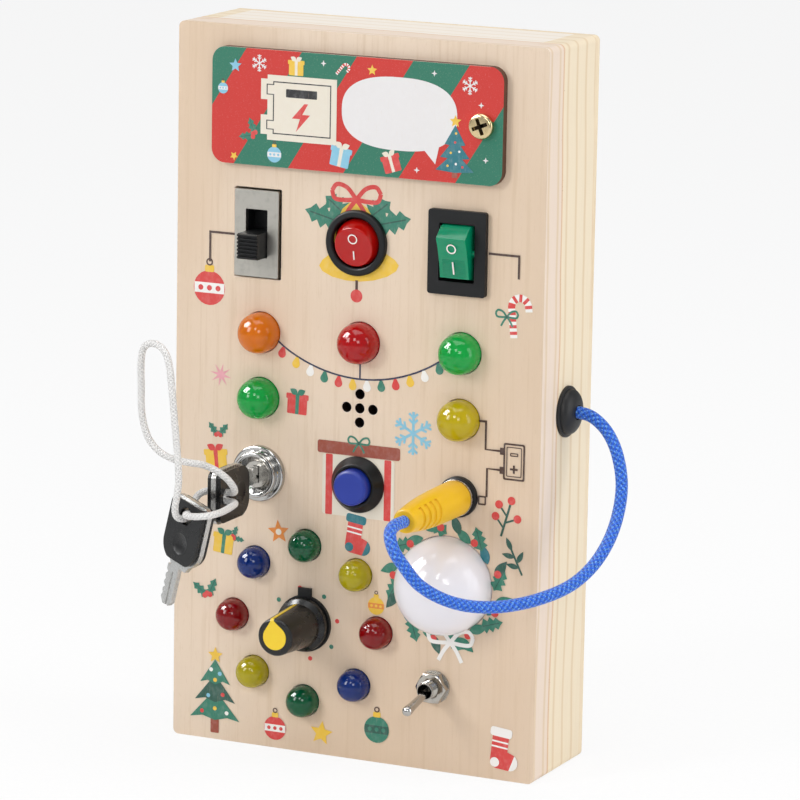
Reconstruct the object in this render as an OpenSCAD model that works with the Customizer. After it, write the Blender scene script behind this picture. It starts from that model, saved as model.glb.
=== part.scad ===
// Busy board for small children: a plywood box with switches, a key lock, a push
// button, a plug on a cord, a turning knob and coloured lamps on its front.
// The board stands on its lower edge: +X is right, +Z is up and the front faces -Y.
// The origin is the middle of the lower edge. On the front, a piece is drawn with
// x to the right, y up and z out of the panel, whose front face lies at z = 0.

/* [Board] */
// Width of the board
board_w = 137; // [134:1:160]
// Height of the board
board_h = 250; // [226:1:290]
// Depth of the board from front face to back face
board_d = 42; // [38:1:60]
// Thickness of the front panel
panel_t = 5; // [4:0.5:6]
// Thickness of the back panel
back_t = 3; // [2.5:0.5:5]
// Thickness of the frame's rails
rail_t = 8; // [7:0.5:9]
// Radius of the board's corners
corner_r = 2; // [1:0.5:6]

/* [Layout on the front] */
// Distance of the middle column from the board's middle
middle_x = 1.5; // [-1:0.1:2]
// Distance from one column to the next
column_pitch = 37.5; // [36:0.1:39]
// Distance of the battery case and the middle switch from the board's middle
upper_x = -0.3; // [-1:0.1:2]
// Free height under the ring of lamps, as a share of the free height in all
ring_share = 2.3; // [1.5:0.1:4]
// Free height between the ring and the lock, the button and the jack
control_share = 4; // [3:0.1:5]
// Free height between that row and the speaker
speaker_share = 1.9; // [1:0.1:3]
// Free height between the speaker and the upper row of lamps
lamp_share = 1; // [0.8:0.1:2]
// Free height between the lamps and the switches
switch_share = 10.4; // [8:0.1:12]
// Free height between the switches and the battery case
cover_share = 10.55; // [9:0.05:12]
// Free height over the battery case
top_share = 0.95; // [0.8:0.05:2]
// Sideways place of the knob
dial_x = -17.8; // [-19:0.1:-17]
// Sideways place of the white globe
globe_x = 35; // [34.5:0.5:37]
// Height of the white globe over the knob
globe_lift = 19.8; // [18:0.1:21]
// Sideways place of the toggle switch
toggle_x = 31.3; // [29:0.1:34]
// Distance of the toggle switch below the knob
toggle_drop = 16.2; // [15:0.1:20]

/* [Battery case] */
// Width of the cover plate
cover_w = 107.8; // [100:0.1:112]
// Height of the cover plate
cover_h = 39.7; // [38:0.1:42]
// Thickness of the cover plate
cover_t = 3; // [2:0.5:4]
// Radius of the cover's corners
cover_r = 5; // [2:0.5:8]
// Distance of the cover's screw from its right edge
cover_screw_inset = 7.5; // [6:0.5:12]
// Diameter of the cover screw's shank
cover_screw_d = 3.5; // [3:0.1:4]
// Diameter of the cover screw's head
cover_head_d = 8.7; // [7:0.1:10]
// Number of battery cells
cells = 3; // [2:1:3]
// Diameter of a battery cell
cell_d = 10.5; // [9.5:0.1:10.6]
// Length of a battery cell with its nub
cell_len = 44.5; // [40:0.5:46]
// Depth of the cells' fronts behind the board's front face
cell_sink = 3.6; // [3:0.1:4]
// Wall of the battery tray
tray_wall = 1.5; // [1:0.1:2]

/* [Slide switch] */
// Width of the metal plate
slide_plate_w = 16.5; // [15:0.5:19]
// Height of the metal plate
slide_plate_h = 29.8; // [27:0.2:32]
// Thickness of the metal plate
slide_plate_t = 2; // [1.5:0.1:3]
// Depth of the plate's pocket in the panel
slide_pocket = 1; // [0.5:0.1:1.5]
// Width of the slot
slide_slot_w = 8.2; // [7:0.1:9]
// Height of the slot
slide_slot_h = 16.6; // [14:0.1:18]
// Height of the knob, along its travel
slide_knob_h = 8.8; // [7:0.1:10]
// Distance that the knob stands out of the board
slide_knob_out = 8.2; // [6:0.1:10]

/* [Rocker switches] */
// Diameter of the round switch's rim
round_rim_d = 22.4; // [22:0.1:25]
// Diameter of the round switch's body
round_body_d = 19.6; // [19.4:0.1:20.4]
// Diameter of the round opening
round_bore_d = 17.2; // [16.4:0.1:17.4]
// Diameter of the round rocker's face
round_face_d = 14; // [12:0.1:14.4]
// Lean of the round rocker to each side
round_tilt = 12; // [8:1:13]
// Width of the square switch's rim
rect_rim_w = 21.1; // [20:0.1:24]
// Height of the square switch's rim
rect_rim_h = 28.6; // [28:0.1:31]
// Width of the square switch's opening
rect_bore_w = 13; // [12:0.1:14]
// Height of the square switch's opening
rect_bore_h = 19.6; // [18:0.1:21]
// Width of the square rocker
rect_rocker_w = 10.6; // [9:0.1:11.4]
// Lean of the square rocker to each side
rect_tilt = 16; // [10:1:17]
// Height of a rocker switch's rim
rocker_rim_t = 2; // [1.4:0.1:2.4]
// Depth of a rocker switch's body behind the front face
rocker_depth = 18; // [14:1:22]
// Diameter of a rocker's pivot pins
rocker_pin_d = 2.4; // [2:0.1:3]

/* [Lamps] */
// Diameter of a large lamp
lamp_d = 13.4; // [12:0.1:14]
// Height of a large lamp's ball centre above the panel
lamp_rise = 1.8; // [0.5:0.1:3]
// Diameter of a small lamp
small_lamp_d = 10.4; // [9:0.1:11]
// Height of a small lamp's ball centre above the panel
small_lamp_rise = 1.4; // [0.5:0.1:2.5]
// Number of small lamps round the knob
ring_lamps = 8; // [8]
// Radius of the ring of small lamps
ring_r = 27.4; // [25:0.1:28]
// Diameter of the white globe
globe_d = 33.4; // [30:0.1:34]
// Height of the globe's centre above the panel
globe_rise = 2.5; // [0.5:0.1:4]
// Wall of a lamp's cap
lamp_wall = 1.2; // [0.8:0.1:1.6]
// Gap round a lamp in its hole
lamp_gap = 0.4; // [0.2:0.1:0.6]
// Distance of the circuit boards behind the panel's front face
circuit_depth = 14; // [13:0.5:16]
// Thickness of a circuit board
circuit_t = 1.6; // [1:0.1:2]

/* [Speaker] */
// Diameter of the speaker
speaker_d = 26; // [24:1:27]
// Thickness of the speaker
speaker_t = 5.4; // [4.5:0.1:6.5]
// Diameter of a sound hole
sound_hole_d = 3.5; // [2.5:0.1:3.8]
// Distance from one sound hole to the next
sound_pitch = 4.9; // [4.5:0.1:6]

/* [Lock and keys] */
// Diameter of the lock's rim
lock_rim_d = 19.5; // [18:0.1:21]
// Diameter of the lock's raised ring
lock_ring_d = 15.8; // [14:0.1:16.4]
// Height of the lock's raised ring above the panel
lock_ring_out = 4.8; // [3.6:0.1:6]
// Diameter of the turning cylinder
rotor_d = 9.4; // [9:0.1:10]
// Length of a key's blade
key_blade_len = 14; // [12.5:0.5:17]
// Width of a key's blade
key_blade_w = 5.6; // [5:0.1:6.4]
// Thickness of a key's steel blank
key_blank_t = 1.8; // [1.4:0.1:2.2]
// Length of a key's head
key_head_len = 24.5; // [22:0.5:26]
// Width of a key's head
key_head_w = 18.6; // [17:0.1:20]
// Distance of the head's middle line below the blade's
key_head_drop = 2.5; // [2:0.1:3]
// Thickness of each plastic half on a key's head
key_half_t = 1.6; // [1.2:0.1:2]
// Distance of the key's shoulder from the panel
key_out = 10; // [9:0.5:11]

/* [Push button] */
// Diameter of the button's rim
button_rim_d = 19.5; // [18:0.1:21]
// Height of the button's rim
button_rim_out = 4; // [3:0.1:5]
// Diameter of the button's cap
button_cap_d = 12.4; // [11:0.1:13]
// Distance that the cap stands out of the panel
button_out = 7.5; // [6.5:0.1:9]
// Travel of the button
button_travel = 3; // [1.5:0.1:3.4]

/* [Jack and plug] */
// Diameter of the jack's ring
jack_ring_d = 14; // [13:0.1:16]
// Height of the jack's ring
jack_ring_t = 2.2; // [1.6:0.1:3]
// Diameter of the plug's barrel
plug_barrel_d = 5.5; // [4:0.1:6]
// Length of the barrel inside the jack
plug_barrel_len = 10; // [7:0.5:11]
// Diameter of the plug's handle
plug_d = 12.3; // [11.6:0.1:13]
// Length of the plug's handle
plug_len = 40; // [38:1:40]
// Number of grip grooves on each side of the handle
plug_grooves = 4; // [2:1:5]
// Diameter of the blue cord
plug_cord_d = 4.5; // [4:0.1:5]
// Diameter of the grommet's dome
grommet_d = 17.5; // [16:0.1:19]
// Height of the grommet's dome
grommet_out = 4.5; // [3.5:0.1:5]
// Height of the grommet's middle above the lower row's middle
grommet_lift = 28.5; // [27:0.5:30]

/* [Knob] */
// Diameter of the knob's skirt
knob_skirt_d = 18.6; // [17:0.1:20]
// Diameter of the knob's body above the skirt
knob_body_d = 15.2; // [14:0.1:16]
// Diameter of the knob's top
knob_top_d = 13; // [12:0.1:13.6]
// Height of the knob's top above the panel
knob_out = 23.5; // [21:0.5:26]
// Diameter of the knob's shaft
knob_shaft_d = 6; // [5:0.1:6.4]
// Direction of the pointer, counted from the right
pointer_angle = 100; // [90:1:110]

/* [Toggle switch] */
// Width of the toggle's nut across its flats
toggle_nut_w = 10; // [9:0.1:11]
// Diameter of the toggle's threaded neck
toggle_neck_d = 6; // [5.8:0.1:6.6]
// Height of the neck above the panel
toggle_neck_out = 8; // [6:0.1:9]
// Length of the lever beyond the neck
toggle_lever_len = 15.5; // [11:0.5:17]
// Diameter of the lever
toggle_lever_d = 2.5; // [2.2:0.1:2.6]
// Diameter of the lever's round tip
toggle_tip_d = 3.5; // [3:0.1:4]
// Lean of the lever to each side
toggle_tilt = 11; // [8:0.5:14]

/* [Fits] */
// Radial clearance of a shaft in its bore
running_fit = 0.05; // [0.02:0.01:0.1]
// Gap between a fixed body and its hole in the panel
hole_gap = 0.2; // [0.1:0.05:0.3]
// Gap between a moving piece and what it passes
slide_gap = 0.3; // [0.2:0.05:0.4]
// Diameter of the cord that ties the keys together
key_cord_d = 2.4; // [2:0.1:2.6]
// Diameter of the cord's hole in a key's head
key_hole_d = 6.2; // [6:0.1:6.6]

/* [Hidden] */
$fn = 64;
cut = 1; // how far a cutting solid runs past the surface that it cuts
face_y = -board_d / 2;
back_y = board_d / 2;
left_x = middle_x - column_pitch;
right_x = middle_x + column_pitch;
slide_x = upper_x - column_pitch;
square_x = upper_x + column_pitch;
frame_depth = board_d - panel_t - back_t;
flange_t = 1.2; // flange behind the panel that stops a lamp
flange_w = 2; // width of that flange
nut_t = 3; // thickness of the nuts behind the panel
nut_rim = 3; // width of those nuts round their thread
thread_fit = 0.05; // gap between a nut and the body that it holds

cover_screw_x = upper_x + cover_w / 2 - cover_screw_inset;
cover_head_h = 2.4;
cross_w = 1.1; // width of a cross recess's arms
cell_end = 2.2; // room for the contact at each end of a cell
cell_gap = 0.4; // gap between two cells
cell_pitch = cell_d + cell_gap;
tray_in_w = cell_len + 2 * cell_end;
tray_in_h = cells * cell_pitch + cell_gap;
cell_axis = -cell_sink - cell_d / 2;
tray_floor = cell_axis - cell_d / 2 - 1.2;

rocker_pin_r = rocker_pin_d / 2;
housing_floor = 5; // floor of a rocker switch's body
round_pivot = -2; // height of the round rocker's pivot
round_body_r = round_bore_d / 2 - slide_gap; // its barrel turns in the bore
rect_pivot = 0.3; // height of the square rocker's pivot
rect_wall = 2.6; // wall of the square switch's body
rect_body_w = rect_bore_w + 2 * rect_wall;
rect_body_h = rect_bore_h + 2 * rect_wall;
rect_swing_r = rect_bore_h / 2 - slide_gap;

lock_body_r = 7.8;
lock_depth = 20;
rotor_face = 2.6; // height of the turning cylinder's face
rotor_len = 18;
key_slot_gap = 0.2; // gap round the blade in the keyway
key_hole_in = 5.5; // distance of the cord's slot from the head's end
key_tip = key_out - key_blade_len;
half_inset = 0.6; // the steel shows this far past the plastic halves

button_body_r = 8.4;
button_depth = 18;
button_flange_r = button_cap_d / 2 + 0.9; // keeps the cap in its housing
button_floor = -13;
button_bottom = -6; // underside of the cap's flange
button_flange_t = 1;
spring_wire = 0.7;
spring_turns = 5;
spring_r = 4;

jack_body_r = 5.6;
jack_depth = 14;
plug_collar_t = 1.2;
plug_collar_r = plug_d / 2 + 0.2;
plug_start = jack_ring_t + plug_collar_t;
plug_tail_r = plug_cord_d / 2 + 1.2;
groove_r = 0.7;
groove_pitch = 3.6;

grommet_bore_r = plug_cord_d / 2 + 0.3;
grommet_neck_r = 5.4;
grommet_lip_t = 1.5;
grommet_lip_w = 1;
grommet_edge_t = 1.2; // height of the dome's straight edge
grommet_bevel_w = 0.5;
grommet_bevel_h = 0.4;
grommet_step = 0.9; // how far inside the edge the dome's curve begins
cord_anchor_len = 6;
grommet_end = board_w / 2 - rail_t - grommet_lip_t;

knob_gap = 0.4; // gap under the knob
collar_t = 1.2;
collar_lug = 3.2; // how far the collar's lug reaches past the skirt
rotary_w = 21;
rotary_t = 11;
rotary_neck_r = 5;
shaft_flat = 0.8;
inlay_t = 0.6;

washer_t = 0.6;
toggle_nut_t = 3;
toggle_pivot = 3.2; // height of the lever's ball
toggle_ball_r = 1.9;
toggle_body = [8, 13.2, 9.4];

// Half heights of the rows, from the ring of lamps up to the battery case. The height
// that they leave free between the rails is shared out between them.
ring_half = ring_r + 8;
control_half = button_body_r + nut_rim;
speaker_half = speaker_d / 2;
lamp_half = lamp_d / 2 + flange_w;
switch_half = slide_plate_h / 2;
cover_half = tray_in_h / 2 + tray_wall;
row_heights = 2 * (ring_half + control_half + speaker_half + lamp_half + switch_half + cover_half);
shares = ring_share + control_share + speaker_share + lamp_share + switch_share + cover_share
    + top_share;
share = (board_h - 2 * rail_t - row_heights) / shares; // height of one share
dial_z = rail_t + ring_share * share + ring_half;
control_z = dial_z + ring_half + control_share * share + control_half;
lower_lamp_z = control_z + control_half + speaker_share * share + speaker_half;
upper_lamp_z = lower_lamp_z + speaker_half + lamp_share * share + lamp_half;
switch_z = upper_lamp_z + lamp_half + switch_share * share + switch_half;
cover_z = switch_z + switch_half + cover_share * share + cover_half;
globe_z = dial_z + globe_lift;
toggle_z = dial_z - toggle_drop;
grommet_z = control_z + grommet_lift;

side_place = [board_w / 2, 0, grommet_z];
lock_place = [left_x, face_y, control_z];
jack_place = [right_x, face_y, control_z];

// Route of the blue cord: from inside the board out of the grommet, down beside the
// board and forward, then up to the plug's tail.
from_grommet = [
    [-2.5, 0, 0], [5.5, 0, 0], [10.5, 0, -1.5], [15.5, 0, -6], [19.5, -1, -13],
    [22.5, -4, -22], [23.5, -9, -31], [23.5, -17, -39], [21.5, -26, -46], [17.5, -36, -51]
];
to_plug = [
    [40, -26, -25.5], [32, -36, -26.5], [24, -44, -25.5], [17, -50, -22.5],
    [11, -55, -17.5], [6.5, -57, -11.5], [3, -57.5, -6.5], [0.6, -55.5, -1.9],
    [0, -51, 0], [0, -plug_start - plug_len, 0]
];
plug_route = concat(
    [[grommet_end, 0, grommet_z]],
    [for (p = from_grommet) side_place + p],
    [for (p = to_plug) jack_place + p]
);

// Place of the spare key's hole, the turn of that key about its hanging line, and its
// lean to the left.
spare_hang = [-3.5, -43.5, -7]; // from the lock's place
spare_hole = lock_place + spare_hang;
spare_turn = -24;
spare_lean = 13;

// Route of the white cord, from the lock's place: out of the spare key's hole, up round
// the long loop, through the hole of the key in the lock, and back to the spare key
// from behind.
loop_points = [
    [-4.6, -43.3, -8], [-5.6, -45.8, -7.7], [-6.4, -47.6, -7.1], [-6.8, -48.8, -5.5],
    [-6.7, -49.2, -2.9], [-6.2, -48.8, 1], [-6.1, -48, 5.5], [-6.7, -47.2, 10.5],
    [-7.6, -46.4, 15.5], [-8.6, -45.6, 21], [-9.6, -44.9, 26.5], [-10.5, -44.2, 32],
    [-11.5, -43.5, 37.5], [-12.6, -42.7, 42.5], [-14.4, -41.8, 46.7],
    [-17.4, -40.9, 49.2], [-21, -40.1, 49.7], [-24, -39.4, 48.1],
    [-25.4, -38.8, 44.5], [-25.8, -38.3, 39.5], [-25.8, -38, 33.5],
    [-25.8, -37.6, 27.5], [-25, -37.1, 21.5], [-22.8, -36.7, 16.1],
    [-18.8, -36.2, 12.3], [-13.6, -35.7, 10.3], [-8, -35.6, 9.7], [-3, -35.4, 9.3],
    [1.4, -35, 7.7], [4.6, -34, 5.1], [6.2, -32, 1.9], [5.6, -29.9, -0.4],
    [3.2, -29, -1], [0, -29, -1], [-3.2, -29, -1], [-5.6, -29.6, -1.4],
    [-7, -31.4, -2.3], [-7.2, -34, -3.7], [-6.2, -36.4, -5.5], [-4.6, -38.4, -7.1],
    [-3.4, -40.3, -8.1], [-4.4, -42.7, -8.1]
];
// Route of the short strand that ties the two keys, from the spare key's hole.
tie_points = [
    [-2.4, -44, -5.9], [-3.5, -46.8, -5.7], [-2.9, -48.7, -5.6], [-0.5, -49.9, -5.5],
    [3.5, -51.5, -4.8], [6.7, -49.8, -4.4], [7.9, -44.8, -4.3], [7.6, -39, -4.3],
    [7.1, -33.5, -4.1], [6, -30.4, -4], [3, -29, -4], [0, -29, -4]
];
loop_route = [for (p = loop_points) lock_place + p];
tie_route = [for (p = tie_points) lock_place + p];

// ---------- Helpers ----------

// Draws its children on the panel's front, with z out of the panel.
module on_face(x = 0, z = 0) {
    translate([x, face_y, z]) rotate([90, 0, 0]) children();
}

// Draws its children on the board's right side, with z out of the side.
module on_side() {
    translate([board_w / 2, 0, grommet_z]) rotate([0, 90, 0]) children();
}

module rounded_rect(w, h, r) {
    square([w - 2 * r, h], center = true);
    square([w, h - 2 * r], center = true);
    for (i = [-1, 1], j = [-1, 1])
        translate([i * (w / 2 - r), j * (h / 2 - r)]) circle(r);
}

module slab(w, h, r, t) {
    linear_extrude(t) rounded_rect(w, h, r);
}

module board_outline() {
    translate([0, board_h / 2]) rounded_rect(board_w, board_h, corner_r);
}

// Block of the size [x, y, z], centred sideways and standing on z = 0.
module block(size) {
    translate([-size[0] / 2, -size[1] / 2, 0]) cube(size);
}

// Round bar between the heights low and high.
module bar(r, low, high) {
    translate([0, 0, low]) cylinder(r = r, h = high - low);
}

// Pipe between the heights low and high.
module pipe(r, bore, low, high) {
    difference() {
        bar(r, low, high);
        bar(bore, low - cut, high + cut);
    }
}

// Hexagonal nut between the heights low and high, w across its flats.
module hex_nut(w, bore, low, high) {
    difference() {
        translate([0, 0, low]) cylinder(d = w / cos(30), h = high - low, $fn = 6);
        bar(bore, low - cut, high + cut);
    }
}

// Points of an arc about c, from the angle a to the angle b.
function arc(c, r, a, b, steps = 8) =
    [for (i = [0 : steps]) let (t = a + (b - a) * i / steps)
        [c[0] + r * cos(t), c[1] + r * sin(t)]];

function unit(v) = v / norm(v);

function tangent(path, i) =
    unit(path[min(i + 1, len(path) - 1)] - path[max(i - 1, 0)]);

// The part of v that is square to the direction t, as a unit vector.
function square_to(v, t) = unit(v - (v * t) * t);

// One side direction for each point of a path, turned as little as possible.
function side_directions(path, v, i = 0) =
    i == len(path) ? [] :
    let (s = square_to(v, tangent(path, i)))
    concat([s], side_directions(path, s, i + 1));

// Round tube along a path, with one ring of points at each point of the path.
module tube(path, r, sides, start_side) {
    s = side_directions(path, start_side);
    last = len(path) - 1;
    points = [
        for (i = [0 : last], k = [0 : sides - 1])
            let (a = 360 * k / sides)
            path[i] + r * (cos(a) * s[i] + sin(a) * cross(tangent(path, i), s[i]))
    ];
    walls = [
        for (i = [0 : last - 1], k = [0 : sides - 1])
            let (a = i * sides + k, b = i * sides + (k + 1) % sides)
            each [[a, a + sides, b], [b, a + sides, b + sides]]
    ];
    ends = [
        [for (k = [0 : sides - 1]) k],
        [for (k = [sides - 1 : -1 : 0]) last * sides + k]
    ];
    polyhedron(points, concat(walls, ends), convexity = 10);
}

// ---------- Board ----------

panel_brown = "#dcc4ac";
pine = "#eedcc4";
black_plastic = "#26272a";
bright_steel = "#c9cac8";

hatch_w = tray_in_w;
hatch_h = tray_in_h;
slide_body_w = slide_slot_w + 4;
slide_body_h = slide_plate_h - 5;

module front_panel_holes() {
    translate([upper_x, cover_z]) square([hatch_w, hatch_h], center = true);
    translate([cover_screw_x, cover_z]) circle(cover_screw_d / 2 + thread_fit);
    translate([slide_x, switch_z])
        square([slide_body_w + 2 * hole_gap, slide_body_h + 2 * hole_gap], center = true);
    translate([upper_x, switch_z]) circle(round_body_d / 2 + hole_gap);
    translate([square_x, switch_z])
        square([rect_body_w + 2 * hole_gap, rect_body_h + 2 * hole_gap], center = true);
    for (p = large_lamps) translate(p) circle(lamp_d / 2 + lamp_gap);
    for (i = [0 : ring_lamps - 1]) translate(ring_place(i)) circle(small_lamp_d / 2 + lamp_gap);
    for (p = sound_holes) translate(p) circle(sound_hole_d / 2);
    translate([left_x, control_z]) circle(lock_body_r + hole_gap);
    translate([middle_x, control_z]) circle(button_body_r + hole_gap);
    translate([right_x, control_z]) circle(jack_body_r + hole_gap);
    translate([globe_x, globe_z]) circle(globe_d / 2 + hole_gap);
    translate([dial_x, dial_z]) circle(rotary_neck_r + hole_gap);
    translate([toggle_x, toggle_z]) circle(toggle_neck_d / 2 + hole_gap);
}

module front_panel() {
    color(panel_brown) on_face() difference() {
        translate([0, 0, -panel_t]) linear_extrude(panel_t) board_outline();
        translate([0, 0, -panel_t - cut]) linear_extrude(panel_t + 2 * cut) front_panel_holes();
        translate([slide_x, switch_z, -slide_pocket])
            block([slide_plate_w + 2 * slide_pocket_gap,
                slide_plate_h + 2 * slide_pocket_gap, slide_pocket + cut]);
    }
}

// Upright rail on the side s (-1 left, 1 right).
module side_rail(s) {
    on_face() translate([0, 0, -panel_t - frame_depth])
        linear_extrude(frame_depth) intersection() {
            board_outline();
            translate([s * (board_w - rail_t) / 2, board_h / 2])
                square([rail_t, board_h + 2 * cut], center = true);
        }
}

module screw_pilots() {
    for (p = back_screw_places)
        on_face(p[0], p[1])
            bar(back_screw_r + thread_fit, -board_d - cut, -board_d + back_screw_len + slide_gap);
}

module rail_left() {
    color(pine) difference() {
        side_rail(-1);
        screw_pilots();
    }
}

module rail_right() {
    color(pine) difference() {
        side_rail(1);
        screw_pilots();
        on_side() bar(grommet_neck_r + hole_gap, -rail_t - cut, cut);
    }
}

module end_rails() {
    color(pine) for (z = [0, board_h - rail_t])
        translate([rail_t - board_w / 2, face_y + panel_t, z])
            cube([board_w - 2 * rail_t, frame_depth, rail_t]);
}

module back_panel() {
    color(panel_brown) on_face() difference() {
        translate([0, 0, -board_d]) linear_extrude(back_t) board_outline();
        for (p = back_screw_places) translate([p[0], p[1], -board_d - cut]) {
            cylinder(r = back_screw_r + thread_fit, h = back_t + 2 * cut);
            cylinder(r1 = back_head_r + cut, r2 = back_screw_r, h = back_head_r + cut - back_screw_r);
        }
    }
}

// Countersunk screws through the back panel into the side rails.
module back_screws() {
    color(bright_steel) for (p = back_screw_places)
        on_face(p[0], p[1]) difference() {
            rotate_extrude() polygon([
                [0, -board_d], [back_head_r - screw_seat, -board_d],
                [back_screw_r, -board_d + back_head_r - screw_seat - back_screw_r],
                [back_screw_r, -board_d + back_screw_len - back_screw_r],
                [0, -board_d + back_screw_len]
            ]);
            for (a = [0, 90]) rotate(a)
                translate([0, 0, -board_d - cut]) block([3.4, 0.8, cut + 1]);
        }
}

back_screw_r = 1.5;
back_screw_len = 14;
back_head_r = 3;
screw_seat = 0.05; // gap between a screw head and its countersink
back_screw_inset = 15; // distance of the end screws from the board's ends
back_screw_places = [
    for (i = [-1, 1], z = [back_screw_inset, board_h / 2, board_h - back_screw_inset])
        [i * (board_w - rail_t) / 2, z]
];

// ---------- Battery case ----------

module battery_cover() {
    color("#d8392f") on_face(upper_x, cover_z) difference() {
        slab(cover_w, cover_h, cover_r, cover_t);
        translate([cover_w / 2 - cover_screw_inset, 0, 0])
            bar(cover_screw_d / 2 + running_fit, -cut, cover_t + cut);
    }
}

// Domed screw head with a cross recess, standing on z = 0.
module domed_head(d, h, arm_w) {
    difference() {
        rotate_extrude() polygon(concat(
            [[0, 0], [d / 2, 0]],
            [for (i = [0 : 8]) let (a = 90 * i / 8)
                [d / 2 - h / 2 + h / 2 * cos(a), h / 2 + h / 2 * sin(a)]],
            [[0, h]]
        ));
        for (a = [22, 112]) rotate(a) translate([0, 0, h / 3]) block([0.62 * d, arm_w, h]);
    }
}

module cover_screw() {
    color("#c9a45a") on_face(cover_screw_x, cover_z) {
        bar(cover_screw_d / 2, -panel_t - 2, cover_t);
        translate([0, 0, cover_t]) domed_head(cover_head_d, cover_head_h, cross_w);
    }
}

// Sideways places of the cells' axes, from the case's middle.
cell_rows = [for (i = [0 : cells - 1]) (i - (cells - 1) / 2) * cell_pitch];

module battery_tray() {
    out_w = tray_in_w + 2 * tray_wall;
    out_h = tray_in_h + 2 * tray_wall;
    color(black_plastic) on_face(upper_x, cover_z) difference() {
        union() {
            translate([0, 0, tray_floor - tray_wall])
                block([out_w, out_h, -panel_t - tray_floor + tray_wall]);
            translate([0, 0, -panel_t - tray_wall])
                block([out_w + 8, out_h, tray_wall]);
        }
        difference() {
            translate([0, 0, tray_floor]) block([tray_in_w, tray_in_h, -tray_floor]);
            for (i = [-1, 1]) translate([i * cell_len / 4, 0, tray_floor - cut])
                block([2, tray_in_h + cut, cell_axis - tray_floor + cut - cell_d / 4]);
        }
        for (y = cell_rows) translate([0, y, cell_axis]) rotate([0, 90, 0])
            cylinder(d = cell_d + 0.2, h = cell_len, center = true);
    }
}

module battery_cells() {
    nub = 1;
    for (i = [0 : cells - 1])
        on_face(upper_x, cover_z) translate([0, cell_rows[i], cell_axis])
            rotate([0, i % 2 == 0 ? 90 : -90, 0]) {
                color("#3b7a57") bar(cell_d / 2, -cell_len / 2, cell_len / 2 - nub);
                color(bright_steel) bar(cell_d / 5.5, cell_len / 2 - nub, cell_len / 2);
            }
}

// A plate at each end of each cell, with a boss that reaches the cell.
module battery_contacts() {
    plate_t = 0.4;
    color(bright_steel) for (y = cell_rows, i = [-1, 1])
        on_face(upper_x, cover_z) translate([0, y, cell_axis]) rotate([0, i * 90, 0]) {
            translate([0, 0, tray_in_w / 2 - plate_t]) block([cell_d - 2, cell_d - 2, plate_t]);
            translate([0, 0, cell_len / 2 + slide_gap / 2])
                cylinder(r1 = 1.5, r2 = 3, h = cell_end - plate_t - slide_gap / 2);
        }
}

// ---------- Slide switch ----------

slide_pocket_gap = 0.6;
slide_channel = 5; // depth of the channel that the knob runs in
slide_travel = slide_slot_h - slide_knob_h - 2 * slide_gap;
slide_body_depth = 11;
slide_plate_low = -slide_pocket;

module slide_slot(low, high) {
    translate([0, 0, low]) block([slide_slot_w, slide_slot_h, high - low]);
}

module slide_plate() {
    color("#b9b6ac") on_face(slide_x, switch_z) difference() {
        translate([0, 0, slide_plate_low]) slab(slide_plate_w, slide_plate_h, 0.6, slide_plate_t);
        slide_slot(-slide_pocket - cut, slide_plate_t + cut);
    }
}

module slide_body() {
    color(black_plastic) on_face(slide_x, switch_z) difference() {
        translate([0, 0, -slide_body_depth])
            block([slide_body_w, slide_body_h, slide_body_depth + slide_plate_low]);
        slide_slot(slide_plate_low - slide_channel, cut);
    }
}

// Ribbed knob at the lower end of its slot.
module slide_knob() {
    ribs = 7;
    pitch = slide_knob_h / ribs;
    w = slide_slot_w - 2 * slide_gap;
    foot = slide_plate_low - slide_channel + running_fit;
    color("#1d1e20") on_face(slide_x, switch_z - slide_travel / 2) difference() {
        translate([0, 0, foot]) block([w, slide_knob_h, slide_knob_out - foot]);
        for (i = [1 : ribs - 1])
            translate([0, -slide_knob_h / 2 + i * pitch, slide_knob_out])
                rotate([0, 90, 0]) cylinder(r = 0.35, h = w + cut, center = true, $fn = 16);
    }
}

// ---------- Rocker switches ----------

module round_housing() {
    rim_r = round_rim_d / 2;
    bore_r = round_bore_d / 2;
    soft = 0.9;
    color(black_plastic) on_face(upper_x, switch_z) difference() {
        rotate_extrude() polygon(concat(
            [[bore_r, 0], [rim_r, 0]],
            arc([rim_r - soft, rocker_rim_t - soft], soft, 0, 90),
            [[bore_r, rocker_rim_t]]
        ));
    }
    color(black_plastic) on_face(upper_x, switch_z) difference() {
        bar(round_body_d / 2, -rocker_depth, 0);
        bar(bore_r, -rocker_depth + housing_floor, cut);
        translate([0, 0, round_pivot]) rotate([0, 90, 0])
            cylinder(r = rocker_pin_r + running_fit, h = round_body_d + cut, center = true);
    }
}

// Round rocker, drawn upright about its pivot and then leaned: its barrel is part
// of a ball about the pivot, so that it turns freely in the round opening.
module round_rocker() {
    ball = round_body_r;
    face_r = round_face_d / 2;
    face_h = 5.4;
    color("#c62f28") on_face(upper_x, switch_z) translate([0, 0, round_pivot])
        rotate([round_tilt, 0, 0]) {
            rotate_extrude() polygon(concat(
                [[0, ball * sin(-32)]],
                arc([0, 0], ball, -32, 20),
                [[face_r, face_h - 0.4], [face_r - 0.4, face_h], [0, face_h]]
            ));
            rotate([0, 90, 0])
                cylinder(r = rocker_pin_r, h = round_body_d - 2 * running_fit, center = true);
        }
}

module rect_housing() {
    color(black_plastic) on_face(square_x, switch_z) difference() {
        union() {
            slab(rect_rim_w, rect_rim_h, 1, rocker_rim_t);
            translate([0, 0, -rocker_depth]) block([rect_body_w, rect_body_h, rocker_depth + cut]);
        }
        translate([0, 0, -rocker_depth + housing_floor])
            block([rect_bore_w, rect_bore_h, rocker_depth + rocker_rim_t]);
        translate([0, 0, rect_pivot]) rotate([0, 90, 0])
            cylinder(r = rocker_pin_r + running_fit, h = rect_body_w - 2, center = true);
    }
}

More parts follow.
